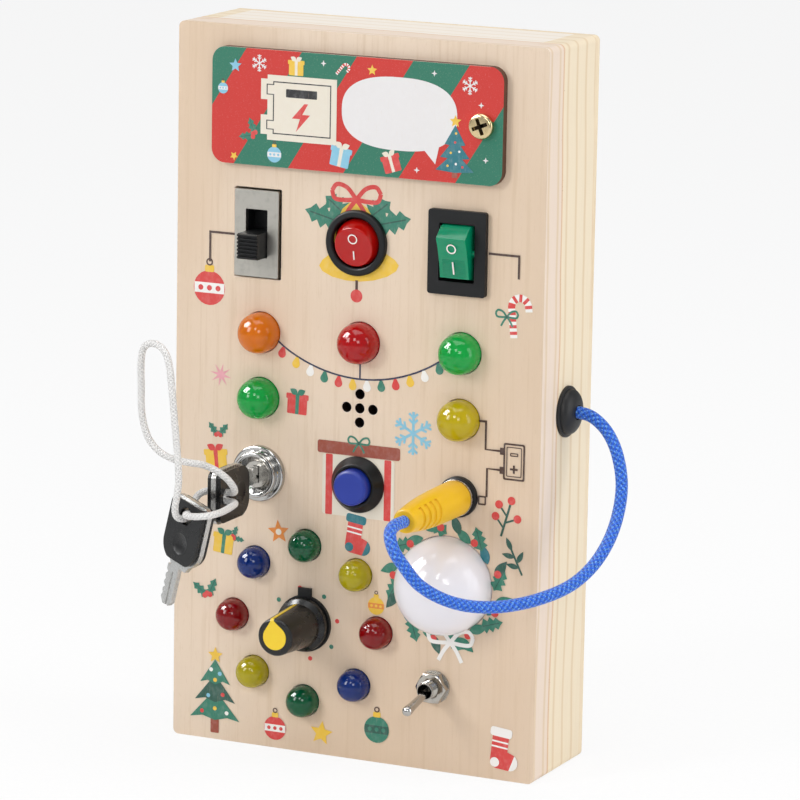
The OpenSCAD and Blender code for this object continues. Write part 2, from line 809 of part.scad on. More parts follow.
// Square rocker with a hollow face, leaned so that its upper end stands out.
module rect_rocker() {
    ball = rect_swing_r;
    corner = [0.758 * ball, 0.547 * ball];
    hollow = 0.053 * ball;
    color("#2fae86") on_face(square_x, switch_z) translate([0, 0, rect_pivot])
        rotate([rect_tilt, 0, 0]) rotate([90, 0, 90]) {
            linear_extrude(rect_rocker_w, center = true) polygon(concat(
                arc([0, 0], ball, -28, 4),
                [corner, [corner[0] / 2, corner[1] - 0.8 * hollow], [0, corner[1] - hollow],
                    [-corner[0] / 2, corner[1] - 0.8 * hollow], [-corner[0], corner[1]]],
                arc([0, 0], ball, 176, 208)
            ));
            cylinder(r = rocker_pin_r, h = rect_body_w - 2 - 2 * running_fit, center = true);
        }
}

// ---------- Lamps and circuit ----------

large_lamps = [
    [left_x, upper_lamp_z], [middle_x, upper_lamp_z], [right_x, upper_lamp_z],
    [left_x, lower_lamp_z], [right_x, lower_lamp_z]
];
sound_holes = [
    for (p = [[0, 0], [1, 0], [-1, 0], [0, 1], [0, -1]])
        [middle_x, lower_lamp_z] + sound_pitch * p
];
// Place of small lamp i, counted from the top one, leftwards.
function ring_place(i) =
    [dial_x, dial_z] + ring_r * [cos(90 + 360 * i / ring_lamps), sin(90 + 360 * i / ring_lamps)];

// Cap of a lamp: a thin ball in the panel's hole, with a flange behind the panel.
module lamp_cap(d, rise) {
    r = d / 2;
    in_r = r - lamp_wall;
    low = -panel_t - flange_t;
    rotate_extrude() polygon(concat(
        [[r + flange_w, low], [r + flange_w, -panel_t], [r, -panel_t]],
        arc([0, rise], r, 0, 90, 16),
        arc([0, rise], in_r, 90, 0, 16),
        [[in_r, low]]
    ));
}

module large_lamp(i) {
    on_face(large_lamps[i][0], large_lamps[i][1]) lamp_cap(lamp_d, lamp_rise);
}

// The small lamps at the place first and at the one across the ring.
module small_lamps(first) {
    for (i = [first, first + ring_lamps / 2])
        on_face(ring_place(i)[0], ring_place(i)[1]) lamp_cap(small_lamp_d, small_lamp_rise);
}

module lamp_orange() { color("#c86f18") large_lamp(0); }
module lamp_red() { color("#a72424") large_lamp(1); }
module lamp_yellow() { color("#c2ae32") large_lamp(4); }
module lamps_green() {
    color("#2a8643") {
        large_lamp(2);
        large_lamp(3);
    }
}
module ring_lamps_green() { color("#215339") small_lamps(0); }
module ring_lamps_blue() { color("#25376a") small_lamps(1); }
module ring_lamps_red() { color("#77201e") small_lamps(2); }
module ring_lamps_yellow() { color("#ab8c29") small_lamps(3); }

lamp_board_rim = 11; // how far the lamps' circuit board reaches past their axes
lamp_board_w = 2 * (column_pitch + lamp_board_rim + 3);
lamp_board_h = upper_lamp_z - lower_lamp_z + 2 * lamp_board_rim;
ring_board_r = ring_half;
pillar_r = 2.4;
pillar_inset = 3.6;
lamp_board_z = (upper_lamp_z + lower_lamp_z) / 2;
rotary_hole_r = rotary_w * 0.75;

module circuit_boards() {
    color("#2e6b3f") {
        on_face(middle_x, lamp_board_z)
            translate([0, 0, -circuit_depth - circuit_t]) slab(lamp_board_w, lamp_board_h, 2, circuit_t);
        on_face(dial_x, dial_z)
            pipe(ring_board_r, rotary_hole_r, -circuit_depth - circuit_t, -circuit_depth);
    }
}

// Pillars that hold the circuit boards behind the front panel.
module board_pillars() {
    color("#e8e6e0") {
        for (i = [-1, 1], j = [-1, 1])
            on_face(middle_x + i * (lamp_board_w / 2 - pillar_inset),
                lamp_board_z + j * (lamp_board_h / 2 - pillar_inset))
                bar(pillar_r, -circuit_depth, -panel_t);
        for (i = [0 : 3]) on_face(dial_x, dial_z)
            rotate(22.5 + 90 * i) translate([ring_r, 0, 0]) bar(pillar_r, -circuit_depth, -panel_t);
    }
}

// Light-emitting diode of diameter d that stands on the height low.
module led(d, low) {
    rotate_extrude() polygon(concat(
        [[0, low], [d / 2 + 0.5, low], [d / 2 + 0.5, low + 1], [d / 2, low + 1]],
        arc([0, low + 1.4 * d - d / 2], d / 2, 0, 90)
    ));
}

module leds() {
    color("#f1efe4") {
        for (p = large_lamps) on_face(p[0], p[1]) led(led_d, -circuit_depth);
        for (i = [0 : ring_lamps - 1]) on_face(ring_place(i)[0], ring_place(i)[1]) led(led_d, -circuit_depth);
        on_face(globe_x, globe_z) for (a = [90, 210, 330])
            rotate(a) translate([0.36 * globe_d / 2, 0, 0]) led(led_d, globe_floor);
    }
}

// Speaker behind the sound holes: a rim on the panel, a cone, a basket and a magnet.
module speaker() {
    r = speaker_d / 2;
    rim_r = 0.88 * r;
    basket_r = 0.69 * r;
    magnet_r = 0.54 * r;
    dip = 0.15 * speaker_t;
    rim_low = -panel_t - 0.37 * speaker_t;
    basket_low = -panel_t - 0.63 * speaker_t;
    color("#5d5f63") on_face(middle_x, lower_lamp_z) rotate_extrude() polygon([
        [0, -panel_t - 2 * dip], [0.62 * r, -panel_t - dip], [rim_r, -panel_t - dip],
        [rim_r, -panel_t], [r, -panel_t], [r, rim_low], [basket_r, basket_low],
        [magnet_r, basket_low], [magnet_r, -panel_t - speaker_t], [0, -panel_t - speaker_t]
    ]);
}

// ---------- White globe ----------

globe_low = -panel_t - flange_t;
led_d = 5; // diameter of a light-emitting diode
globe_base_t = 1.6;
globe_cup = 0.21 * globe_d; // depth of the cup behind the globe
globe_floor = globe_low - globe_cup;

module globe() {
    r = globe_d / 2;
    in_r = r - lamp_wall;
    color("#eceae8") on_face(globe_x, globe_z) rotate_extrude($fn = 96) polygon(concat(
        [[r + flange_w, globe_low], [r + flange_w, -panel_t], [r, -panel_t]],
        arc([0, globe_rise], r, 0, 90, 24),
        arc([0, globe_rise], in_r, 90, 0, 24),
        [[in_r, globe_low]]
    ));
}

// White cup behind the globe that carries its light-emitting diodes.
module globe_base() {
    r = globe_d / 2 + flange_w;
    color("#f4f3f0") on_face(globe_x, globe_z) difference() {
        bar(r, globe_floor - globe_base_t, globe_low);
        bar(globe_d / 2 - lamp_wall, globe_floor, globe_low + cut);
    }
}

// ---------- Lock and keys ----------

// Stepped ring with a dished mouth round the turning cylinder.
module lock_body() {
    rim_r = lock_rim_d / 2;
    ring_r_out = lock_ring_d / 2;
    bore_r = rotor_d / 2 + running_fit;
    color("#d3d3d1") on_face(left_x, control_z) rotate_extrude() polygon(concat(
        [[0, -lock_depth], [lock_body_r, -lock_depth], [lock_body_r, 0], [rim_r, 0]],
        arc([rim_r - 0.8, 1.2], 0.8, 0, 90),
        [[ring_r_out, 2]],
        arc([ring_r_out - 0.6, lock_ring_out - 0.6], 0.6, 0, 90),
        [[rotor_d / 2 + 1.8, lock_ring_out], [bore_r, rotor_face]],
        [[bore_r, rotor_face - rotor_len - running_fit], [0, rotor_face - rotor_len - running_fit]]
    ));
}

module lock_rotor() {
    slot_w = key_blank_t + 2 * key_slot_gap;
    slot_h = key_blade_w + 2 * key_slot_gap;
    color("#a9a7a2") on_face(left_x, control_z) difference() {
        bar(rotor_d / 2, rotor_face - rotor_len, rotor_face);
        translate([0, 0, key_tip - 1]) block([slot_w, slot_h, rotor_face - key_tip + 1 + cut]);
    }
}

// Outline of a key's head, from the shoulder at y = 0, drawn in by e all round.
module key_head_outline(e) {
    w = key_head_w / 2 - e;
    top = key_head_len - e;
    end_r = 3 - e;
    low_r = 7.5 - e;
    low_y = 8.8;
    shoulder = key_blade_w / 2 + 1;
    translate([0, 0]) polygon(concat(
        [[-shoulder, e], [shoulder, e]],
        arc([w - low_r, low_y], low_r, -62, 0),
        arc([w - end_r, top - end_r], end_r, 0, 90),
        arc([-w + end_r, top - end_r], end_r, 90, 180),
        arc([-w + low_r, low_y], low_r, 180, 242)
    ));
}

// Outline of a key's blade: a pointed tip, and notches along one edge.
module key_blade_outline() {
    w = key_blade_w / 2;
    notches = 4;
    pitch = 2.6;
    first = -key_blade_len + 3.4;
    polygon(concat(
        [[-w, 0], [-w, -key_blade_len + 1.5], [-w / 2, -key_blade_len], [w / 2, -key_blade_len],
            [w, -key_blade_len + 2]],
        [for (i = [0 : notches - 1]) each
            [[w, first + i * pitch - 0.9], [w - 0.5 - 0.35 * (i % 2), first + i * pitch],
                [w, first + i * pitch + 0.9]]],
        [[w, 0]]
    ));
}

key_hole_at = key_head_len - key_hole_in; // the hole's distance from the shoulder

// Steel blank in the plane x = 0: the blade points down and the head stands up.
module key_steel() {
    rotate([90, 0, 90]) linear_extrude(key_blank_t, center = true) difference() {
        union() {
            translate([-key_head_drop, 0]) key_head_outline(0);
            key_blade_outline();
        }
        translate([-key_head_drop, key_hole_at]) circle(key_hole_d / 2);
    }
}

// Shallow round dish of radius r and depth d, below z = 0, for cutting.
module dimple(r, d) {
    ball = (r * r + d * d) / (2 * d);
    rise = ball - d;
    rotate_extrude() polygon(concat(
        arc([0, rise], ball, -90, -asin(rise / ball), 6),
        [[r, cut], [0, cut]]
    ));
}

// Plastic half on each side of the head, with a round dimple.
module key_plastic() {
    start = 2.6;
    for (s = [-1, 1]) difference() {
        translate([s * (key_blank_t + key_half_t) / 2, 0, 0]) rotate([90, 0, 90])
            linear_extrude(key_half_t, center = true) intersection() {
                translate([-key_head_drop, 0]) key_head_outline(half_inset);
                translate([-key_head_w, start]) square([2 * key_head_w, key_head_len]);
            }
        translate([0, -key_head_drop, key_hole_at]) rotate([0, 90, 0])
            cylinder(d = key_hole_d, h = 2 * key_head_w, center = true);
        translate([s * (key_blank_t / 2 + key_half_t), -key_head_drop, 9]) rotate([0, s * 90, 0])
            dimple(3.8, 0.8);
    }
}

// Places a key in the lock, with its blade's edge up.
module in_lock() {
    on_face(left_x, control_z) translate([0, 0, key_out]) children();
}

// Hangs a key by the hole in its head.
module hanging() {
    translate(spare_hole) rotate([0, spare_lean, 0]) rotate([0, 0, spare_turn + 90])
        translate([0, key_head_drop, -key_hole_at]) children();
}

module key_blank() { color(bright_steel) in_lock() key_steel(); }
module key_halves() { color(black_plastic) in_lock() key_plastic(); }
module spare_key_blank() { color(bright_steel) hanging() key_steel(); }
module spare_key_halves() { color(black_plastic) hanging() key_plastic(); }

module key_cord() {
    color("#f0efec") {
        tube(loop_route, key_cord_d / 2, 8, [0, 0, 1]);
        tube(tie_route, key_cord_d / 2, 8, [0, 0, 1]);
    }
}

// ---------- Push button ----------

module button_housing() {
    rim_r = button_rim_d / 2;
    bore_r = button_cap_d / 2 + slide_gap;
    stop = button_bottom + button_flange_t + running_fit;
    color(black_plastic) on_face(middle_x, control_z) rotate_extrude() polygon([
        [0, -button_depth], [button_body_r, -button_depth], [button_body_r, 0], [rim_r, 0],
        [rim_r, 0.8], [bore_r + 0.9, button_rim_out], [bore_r, button_rim_out], [bore_r, stop],
        [button_flange_r + slide_gap, stop], [button_flange_r + slide_gap, button_floor],
        [0, button_floor]
    ]);
}

module button_cap() {
    r = button_cap_d / 2;
    soft = 1.4;
    color("#1f57c8") on_face(middle_x, control_z) rotate_extrude() polygon(concat(
        [[0, button_bottom], [button_flange_r, button_bottom],
            [button_flange_r, button_bottom + button_flange_t],
            [r, button_bottom + button_flange_t]],
        arc([r - soft, button_out - soft], soft, 0, 90),
        [[0, button_out]]
    ));
}

// Wound spring between the housing's floor and the cap.
module button_spring() {
    steps = 16;
    low = button_floor + spring_wire / 2 + running_fit;
    high = button_bottom - spring_wire / 2 - running_fit;
    coil = [
        for (i = [0 : spring_turns * steps])
            let (a = 360 * i / steps)
            [spring_r * cos(a), spring_r * sin(a), low + (high - low) * i / (spring_turns * steps)]
    ];
    color(bright_steel) on_face(middle_x, control_z) tube(coil, spring_wire / 2, 6, [0, 0, 1]);
}

// ---------- Jack, plug and blue cord ----------

plug_bore_r = plug_barrel_d / 2 + running_fit;
barrel_low = jack_ring_t - plug_barrel_len;

module jack_socket() {
    color("#8f9093") on_face(right_x, control_z) difference() {
        bar(jack_body_r, -jack_depth, 0);
        bar(plug_bore_r, barrel_low - 1, cut);
    }
}

module jack_ring() {
    r = jack_ring_d / 2;
    color(black_plastic) on_face(right_x, control_z) rotate_extrude() polygon(concat(
        [[plug_bore_r, 0], [r, 0]],
        arc([r - 0.8, jack_ring_t - 0.8], 0.8, 0, 90),
        [[plug_bore_r, jack_ring_t]]
    ));
}

module plug_barrel() {
    r = plug_barrel_d / 2;
    color(bright_steel) on_face(right_x, control_z) rotate_extrude() polygon([
        [0, barrel_low], [r - 0.8, barrel_low], [r, barrel_low + 1.2], [r, jack_ring_t],
        [plug_collar_r, jack_ring_t], [plug_collar_r, plug_start], [0, plug_start]
    ]);
}

// Radius of the plug's handle at the share t of its length.
function plug_radius(t) = plug_d / 2 * (1 - 0.37 * pow(t, 3.2));

// Tapering handle with curved grip grooves on its left and right.
module plug_handle() {
    soft = 1.2;
    end_r = plug_radius(0.95) - soft;
    color("#f2c521") on_face(right_x, control_z) translate([0, 0, plug_start]) difference() {
        rotate_extrude() polygon(concat(
            [[0, 0], [plug_d / 2 - 0.6, 0], [plug_d / 2, 0.6]],
            [for (i = [1 : 16]) let (t = 0.95 * i / 16) [plug_radius(t), t * plug_len]],
            arc([end_r, 0.97 * plug_len], soft, 20, 80),
            [[plug_tail_r, plug_len], [0, plug_len]]
        ));
        for (i = [0 : plug_grooves - 1]) {
            z = 0.9 * plug_len - (i + 0.5) * groove_pitch;
            for (a = [0, 180]) rotate(a - 55) translate([0, 0, z])
                rotate_extrude(angle = 110) translate([plug_radius(z / plug_len), 0])
                    circle(groove_r, $fn = 24);
        }
    }
}

module plug_cord() {
    color("#1f4fb5") tube(plug_route, plug_cord_d / 2, 10, [0, 0, 1]);
}

// Rubber grommet that the cord leaves the board's side through.
module grommet() {
    r = grommet_d / 2;
    lip_r = grommet_neck_r + grommet_lip_w;
    dome_r = r - grommet_step;
    color("#222325") on_side() rotate_extrude() polygon(concat(
        [[grommet_bore_r, -rail_t - grommet_lip_t], [lip_r, -rail_t - grommet_lip_t],
            [lip_r, -rail_t], [grommet_neck_r, -rail_t], [grommet_neck_r, 0], [r, 0],
            [r, grommet_edge_t - grommet_bevel_h], [r - grommet_bevel_w, grommet_edge_t],
            [dome_r, grommet_edge_t]],
        [for (i = [1 : 10]) let (a = 90 * i / 10)
            [grommet_bore_r + (dome_r - grommet_bore_r) * cos(a),
                grommet_edge_t + (grommet_out - grommet_edge_t) * sin(a)]]
    ));
}

// Clamp that holds the cord's end behind the grommet.
module cord_anchor() {
    low = -rail_t - grommet_lip_t - cord_anchor_len;
    color("#d8d6d0") on_side() bar(plug_cord_d, low, -rail_t - grommet_lip_t);
}

// ---------- Knob ----------

knob_low = collar_t + knob_gap;
shaft_top = knob_out - 5;
pointer_w = 1.3;
inlay_out = 0.15; // how far the inlay stands out of the knob
inlay_line_in = knob_top_d / 2 - 1.4; // the pointer's line starts this far from the axis

// Outline of the knob, from its skirt to its top, grown by e.
function knob_points(e) = concat(
    [[0, knob_low - e], [knob_skirt_d / 2 + e, knob_low - e], [knob_skirt_d / 2 + e, knob_low + 2],
        [knob_body_d / 2 + e, knob_low + 3.6]],
    arc([knob_top_d / 2 - 1, knob_out - 1], 1 + e, 5, 90),
    [[0, knob_out + e]]
);

// Teardrop on the knob's top and a line from its tip down the side, grown by e.
module pointer_shape(e) {
    drop_r = 0.66 * knob_top_d / 2;
    rotate(pointer_angle) {
        translate([0, 0, knob_out - inlay_t - e]) linear_extrude(inlay_t + e + inlay_out) {
            circle(drop_r + e);
            polygon([
                [drop_r * cos(50), drop_r * sin(50) + e], [inlay_line_in + 0.6, pointer_w / 2 + e],
                [inlay_line_in + 0.6, -pointer_w / 2 - e], [drop_r * cos(50), -drop_r * sin(50) - e]
            ]);
        }
        rotate([90, 0, 0]) linear_extrude(pointer_w + 2 * e, center = true) difference() {
            polygon(knob_points(inlay_out));
            polygon(knob_points(-inlay_t - e));
            translate([-cut, 0]) square([inlay_line_in - e + cut, 2 * knob_out]);
            translate([0, -cut]) square([knob_skirt_d, knob_low + 3.6 + cut - e]);
        }
    }
}

module dial_knob() {
    color("#1c1d1f") on_face(dial_x, dial_z) difference() {
        rotate_extrude() polygon(knob_points(0));
        bar(knob_shaft_d / 2 + thread_fit, knob_low - cut, shaft_top + thread_fit);
        pointer_shape(thread_fit);
    }
}

module dial_inlay() {
    color("#f0c419") on_face(dial_x, dial_z) pointer_shape(0);
}

// Shaft with a flat near its top.
module dial_shaft() {
    r = knob_shaft_d / 2;
    color(bright_steel) on_face(dial_x, dial_z) difference() {
        bar(r, -panel_t - rotary_t + 2 + running_fit, shaft_top);
        translate([0, r - shaft_flat + r, knob_low + 4]) block([2 * r, 2 * r, shaft_top]);
    }
}

module rotary_switch() {
    color("#3a3b3e") on_face(dial_x, dial_z) difference() {
        union() {
            translate([0, 0, -panel_t - rotary_t]) block([rotary_w, rotary_w, rotary_t]);
            bar(rotary_neck_r, -panel_t - cut, collar_t);
        }
        bar(knob_shaft_d / 2 + running_fit, -panel_t - rotary_t + 2, collar_t + cut);
    }
}

// Disc under the knob, with a lug that marks its start.
module dial_collar() {
    lug_w = 5;
    color("#242528") on_face(dial_x, dial_z) linear_extrude(collar_t) difference() {
        union() {
            circle(knob_skirt_d / 2 + 0.6);
            translate([-lug_w / 2, 0]) square([lug_w, knob_skirt_d / 2 + collar_lug]);
        }
        circle(rotary_neck_r + thread_fit);
    }
}

// ---------- Toggle switch ----------

module toggle_body() {
    neck_r = toggle_neck_d / 2;
    seat = toggle_pivot - toggle_ball_r - running_fit;
    bore_r = toggle_ball_r + running_fit;
    mouth_r = neck_r - 0.4;
    color("#b8b9b7") on_face(toggle_x, toggle_z) difference() {
        union() {
            translate([0, 0, -panel_t - toggle_body[2]]) block(toggle_body);
            bar(neck_r, -panel_t - cut, toggle_neck_out);
        }
        bar(bore_r, seat, toggle_neck_out + cut);
        translate([0, 0, toggle_pivot])
            cylinder(r1 = bore_r, r2 = mouth_r, h = toggle_neck_out - toggle_pivot);
        bar(mouth_r, toggle_neck_out, toggle_neck_out + cut);
    }
}

// Washer and hexagonal nut on the toggle's neck.
module toggle_nut() {
    bore_r = toggle_neck_d / 2 + thread_fit;
    color("#cfcfcc") on_face(toggle_x, toggle_z) {
        pipe(toggle_nut_w / 2 + 0.8, bore_r, 0, washer_t);
        hex_nut(toggle_nut_w, bore_r, washer_t, washer_t + toggle_nut_t);
    }
}

// Lever on a ball, swelling towards its round tip, leaned down.
module toggle_lever() {
    r = toggle_lever_d / 2;
    tip_r = toggle_tip_d / 2;
    end = toggle_neck_out - toggle_pivot + toggle_lever_len;
    color("#d5d5d2") on_face(toggle_x, toggle_z) translate([0, 0, toggle_pivot])
        rotate([toggle_tilt, 0, 0]) rotate_extrude() polygon(concat(
            arc([0, 0], toggle_ball_r, -90, 45, 12),
            [[r, toggle_ball_r], [r, toggle_neck_out - toggle_pivot]],
            arc([0, end - tip_r], tip_r, 0, 90)
        ));
}

// ---------- Small pieces behind the panel ----------

// Ring nuts behind the panel for the lock, the button and the jack.
module panel_nuts() {
    rows = [[left_x, lock_body_r], [middle_x, button_body_r], [right_x, jack_body_r]];
    color("#b3b3ae") for (n = rows) on_face(n[0], control_z)
        hex_nut(2 * (n[1] + nut_rim), n[1] + thread_fit, -panel_t - nut_t, -panel_t);
}

terminal_len = 6;

// Solder tabs on the backs of the switches.
module terminals() {
    tab = [2.8, 0.8, terminal_len];
    // place, height of the switch's back, distance between tabs
    rows = [
        [[slide_x, switch_z], -slide_body_depth, 0.2 * slide_body_h],
        [[upper_x, switch_z], -rocker_depth, 0.36 * round_body_d],
        [[square_x, switch_z], -rocker_depth, 0.28 * rect_body_h],
        [[dial_x, dial_z], -panel_t - rotary_t, rotary_w / 3],
        [[toggle_x, toggle_z], -panel_t - toggle_body[2], 0.35 * toggle_body[1]]
    ];
    color("#c9b06b") for (s = rows, i = [-1 : 1])
        on_face(s[0][0], s[0][1]) translate([0, i * s[2], s[1] - tab[2]]) block(tab);
}

// ---------- Nodes ----------

front_panel();
rail_left();
rail_right();
end_rails();
back_panel();
back_screws();
battery_tray();
battery_contacts();
battery_cells();
battery_cover();
cover_screw();
slide_plate();
slide_body();
slide_knob();
round_housing();
round_rocker();
rect_housing();
rect_rocker();
terminals();
lamp_orange();
lamp_red();
lamp_yellow();
lamps_green();
ring_lamps_green();
ring_lamps_yellow();
ring_lamps_red();
ring_lamps_blue();
circuit_boards();
leds();
board_pillars();
speaker();
lock_body();
lock_rotor();
panel_nuts();
key_blank();
key_halves();
spare_key_blank();
spare_key_halves();
key_cord();
button_housing();
button_cap();
button_spring();
jack_socket();
jack_ring();
plug_barrel();
plug_handle();
plug_cord();
grommet();
cord_anchor();
dial_knob();
dial_inlay();
dial_shaft();
rotary_switch();
dial_collar();
toggle_body();
toggle_nut();
toggle_lever();
globe();
globe_base();
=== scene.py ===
"""Looks of a wooden busy board: an upright box whose front carries switches, coloured
lamps, a key lock with two keys, a push button, a plug on a blue cord, a turning knob,
a toggle switch and a white globe.

Every sub-assembly is a class that holds its sizes in millimetres and builds its own
pieces. The row frame has its origin at the middle of the board's lower edge, +X to the
right and +Z up, and the front faces -Y.
"""

import logging
import math
from dataclasses import dataclass, field
from enum import Enum
from typing import Callable, Iterable, Optional, Sequence

import bmesh
import bpy
from mathutils import Matrix, Vector


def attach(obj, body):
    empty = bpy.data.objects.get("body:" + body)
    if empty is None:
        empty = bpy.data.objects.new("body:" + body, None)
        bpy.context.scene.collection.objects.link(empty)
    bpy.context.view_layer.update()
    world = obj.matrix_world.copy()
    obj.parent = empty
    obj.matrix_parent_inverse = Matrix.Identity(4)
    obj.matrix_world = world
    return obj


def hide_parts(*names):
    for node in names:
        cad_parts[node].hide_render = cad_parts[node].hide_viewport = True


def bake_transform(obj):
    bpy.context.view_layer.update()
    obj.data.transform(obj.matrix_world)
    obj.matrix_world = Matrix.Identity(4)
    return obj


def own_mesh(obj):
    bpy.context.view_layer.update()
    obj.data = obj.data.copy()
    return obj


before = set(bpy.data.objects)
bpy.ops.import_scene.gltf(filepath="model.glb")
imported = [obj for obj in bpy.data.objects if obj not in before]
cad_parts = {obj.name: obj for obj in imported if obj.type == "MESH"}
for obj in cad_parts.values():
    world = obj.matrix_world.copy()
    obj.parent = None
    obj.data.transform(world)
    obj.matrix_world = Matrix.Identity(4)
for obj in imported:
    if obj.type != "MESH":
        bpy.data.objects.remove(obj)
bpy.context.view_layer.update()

LOG = logging.getLogger("busy_board")
MM = 0.001
Point = tuple[float, float]
Place = tuple[float, float, float]


# ---------------------------------------------------------------- sizes shared by all

@dataclass(frozen=True)
class Layout:
    """Places and main sizes of the board in millimetres."""
    width: float = 137.0
    height: float = 250.0
    depth: float = 42.0
    panel: float = 5.0
    rail: float = 8.0
    back: float = 3.0
    corner: float = 2.0
    left: float = -36.0
    middle: float = 1.5
    right: float = 39.0
    slide: float = -37.8
    upper: float = -0.3
    square: float = 37.2
    cover: float = 223.0
    switches: float = 179.5
    upper_lamps: float = 145.5
    lower_lamps: float = 122.8
    controls: float = 96.5
    dial: Point = (-17.8, 45.7)
    globe: Point = (35.0, 65.5)
    toggle: Point = (31.3, 29.5)
    grommet: float = 125.0
    ring: float = 27.4

    @property
    def face(self) -> float:
        """Y of the panel's front face."""
        return -self.depth / 2

    def ring_place(self, index: int) -> Point:
        """Place of small lamp number index, counted from the top one leftwards."""
        angle = math.radians(90 + 45 * index)
        return (self.dial[0] + self.ring * math.cos(angle),
                self.dial[1] + self.ring * math.sin(angle))


SIZE = Layout()


def on_front(x: float = 0.0, z: float = 0.0, out: float = 0.0) -> Matrix:
    """Seat on the front at (x, z): x right, y up and z out of the panel, in mm."""
    return Matrix.Translation((x, SIZE.face - out, z)) @ Matrix.Rotation(math.pi / 2, 4, "X")


def on_side() -> Matrix:
    """Seat of the grommet on the right side, with z out of the side."""
    return (Matrix.Translation((SIZE.width / 2, 0, SIZE.grommet))
            @ Matrix.Rotation(math.pi / 2, 4, "Y"))


def turned(angle: float, axis: str) -> Matrix:
    """Turn by an angle in degrees about a local axis."""
    return Matrix.Rotation(math.radians(angle), 4, axis)


def moved(x: float, y: float, z: float = 0.0) -> Matrix:
    """Shift in millimetres."""
    return Matrix.Translation((x, y, z))


# Turns x to y, y to z and z to x, so that a prism's outline becomes its side view.
SIDEWAYS = Matrix(((0, 0, 1, 0), (1, 0, 0, 0), (0, 1, 0, 0), (0, 0, 0, 1)))


# ---------------------------------------------------------------- outlines

def arc(centre: Point, radius: float, start: float, end: float, steps: int = 8) -> list[Point]:
    """Points of an arc.

    Args:
        centre: middle of the arc.
        radius: its radius.
        start: first angle in degrees.
        end: last angle in degrees.
        steps: number of chords.
    Returns:
        The points, both ends among them.
    """
    angles = [math.radians(start + (end - start) * i / steps) for i in range(steps + 1)]
    return [(centre[0] + radius * math.cos(a), centre[1] + radius * math.sin(a)) for a in angles]


def circle(x: float, y: float, radius: float, steps: int = 40) -> list[Point]:
    """Closed circle as an outline."""
    return arc((x, y), radius, 0, 360, steps)[:-1]


def rounded(width: float, height: float, radius: float, x: float = 0.0, y: float = 0.0,
            steps: int = 8) -> list[Point]:
    """Outline of a rounded rectangle whose middle is (x, y)."""
    w, h = width / 2 - radius, height / 2 - radius
    points: list[Point] = []
    for i, (sx, sy) in enumerate(((1, 1), (-1, 1), (-1, -1), (1, -1))):
        points += arc((x + sx * w, y + sy * h), radius, 90 * i, 90 * i + 90, steps)
    return points


def star(points: int, outer: float, inner: float, lean: float = 90.0) -> list[Point]:
    """Outline of a star whose first tip points to the angle lean."""
    result: list[Point] = []
    for i in range(2 * points):
        angle = math.radians(lean + 180 * i / points)
        radius = inner if i % 2 else outer
        result.append((radius * math.cos(angle), radius * math.sin(angle)))
    return result


def ribbon(line: Sequence[Point], width: float) -> list[Point]:
    """Outline of a stroke of that width along a line of points."""
    left: list[Point] = []
    right: list[Point] = []
    for i, here in enumerate(line):
        before, after = line[max(i - 1, 0)], line[min(i + 1, len(line) - 1)]
        along = Vector((after[0] - before[0], after[1] - before[1])).normalized()
        side = Vector((-along.y, along.x)) * width / 2
        left.append((here[0] + side.x, here[1] + side.y))
        right.append((here[0] - side.x, here[1] - side.y))
    return left + right[::-1]


def shifted(outline: Iterable[Point], x: float, y: float, turn: float = 0.0,
            scale: float = 1.0) -> list[Point]:
    """The outline scaled, turned by degrees and shifted to (x, y)."""
    c, s = math.cos(math.radians(turn)) * scale, math.sin(math.radians(turn)) * scale
    return [(x + px * c - py * s, y + px * s + py * c) for px, py in outline]


def smooth_path(points: Sequence[Place], step: float) -> list[Vector]:
    """Even points along a smooth curve through the given ones.

    Args:
        points: places that the curve passes.
        step: distance between the new points, in the same unit.
    Returns:
        The new points, the first and the last place among them.
    """
    parts = 16
    nodes = [Vector(p) for p in points]
    nodes = [2 * nodes[0] - nodes[1], *nodes, 2 * nodes[-1] - nodes[-2]]
    fine: list[Vector] = []
    for a, b, c, d in zip(nodes, nodes[1:], nodes[2:], nodes[3:]):
        for i in range(parts):
            t = i / parts
            fine.append(0.5 * ((2 * b) + (c - a) * t + (2 * a - 5 * b + 4 * c - d) * t * t
                               + (3 * b - a - 3 * c + d) * t ** 3))
    fine.append(nodes[-2])
    total = sum((q - p).length for p, q in zip(fine, fine[1:]))
    count = max(2, round(total / step))
    result, run, i = [fine[0]], 0.0, 0
    for k in range(1, count):
        goal = total * k / count
        while run + (fine[i + 1] - fine[i]).length < goal:
            run += (fine[i + 1] - fine[i]).length
            i += 1
        result.append(fine[i].lerp(fine[i + 1], (goal - run) / (fine[i + 1] - fine[i]).length))
    return result + [fine[-1]]


def path_length(path: Sequence[Vector]) -> float:
    """Length of a path."""
    return sum((q - p).length for p, q in zip(path, path[1:]))


# ---------------------------------------------------------------- materials

def linear(code: str) -> tuple[float, float, float, float]:
    """Linear colour of an sRGB hex code."""
    parts = [int(code.lstrip("#")[i:i + 2], 16) / 255 for i in (0, 2, 4)]
    r, g, b = (c / 12.92 if c <= 0.04045 else ((c + 0.055) / 1.055) ** 2.4 for c in parts)
    return (r, g, b, 1.0)


def add_node(tree: bpy.types.NodeTree, kind: str, inputs: Optional[dict] = None,
             **settings) -> bpy.types.Node:
    """Adds one node to a tree.

    Args:
        tree: the node tree.
        kind: the node's type name.
        inputs: value or output socket for each input, by name or number.
        settings: properties of the node.
    Returns:
        The new node.
    """
    node = tree.nodes.new(kind)
    for key, value in settings.items():
        setattr(node, key, value)
    for key, value in (inputs or {}).items():
        if isinstance(value, bpy.types.NodeSocket):
            tree.links.new(value, node.inputs[key])
        else:
            node.inputs[key].default_value = value
    return node


class Space(Enum):
    """Which coordinates a pattern follows."""
    OBJECT = "Object"
    UV = "UV"


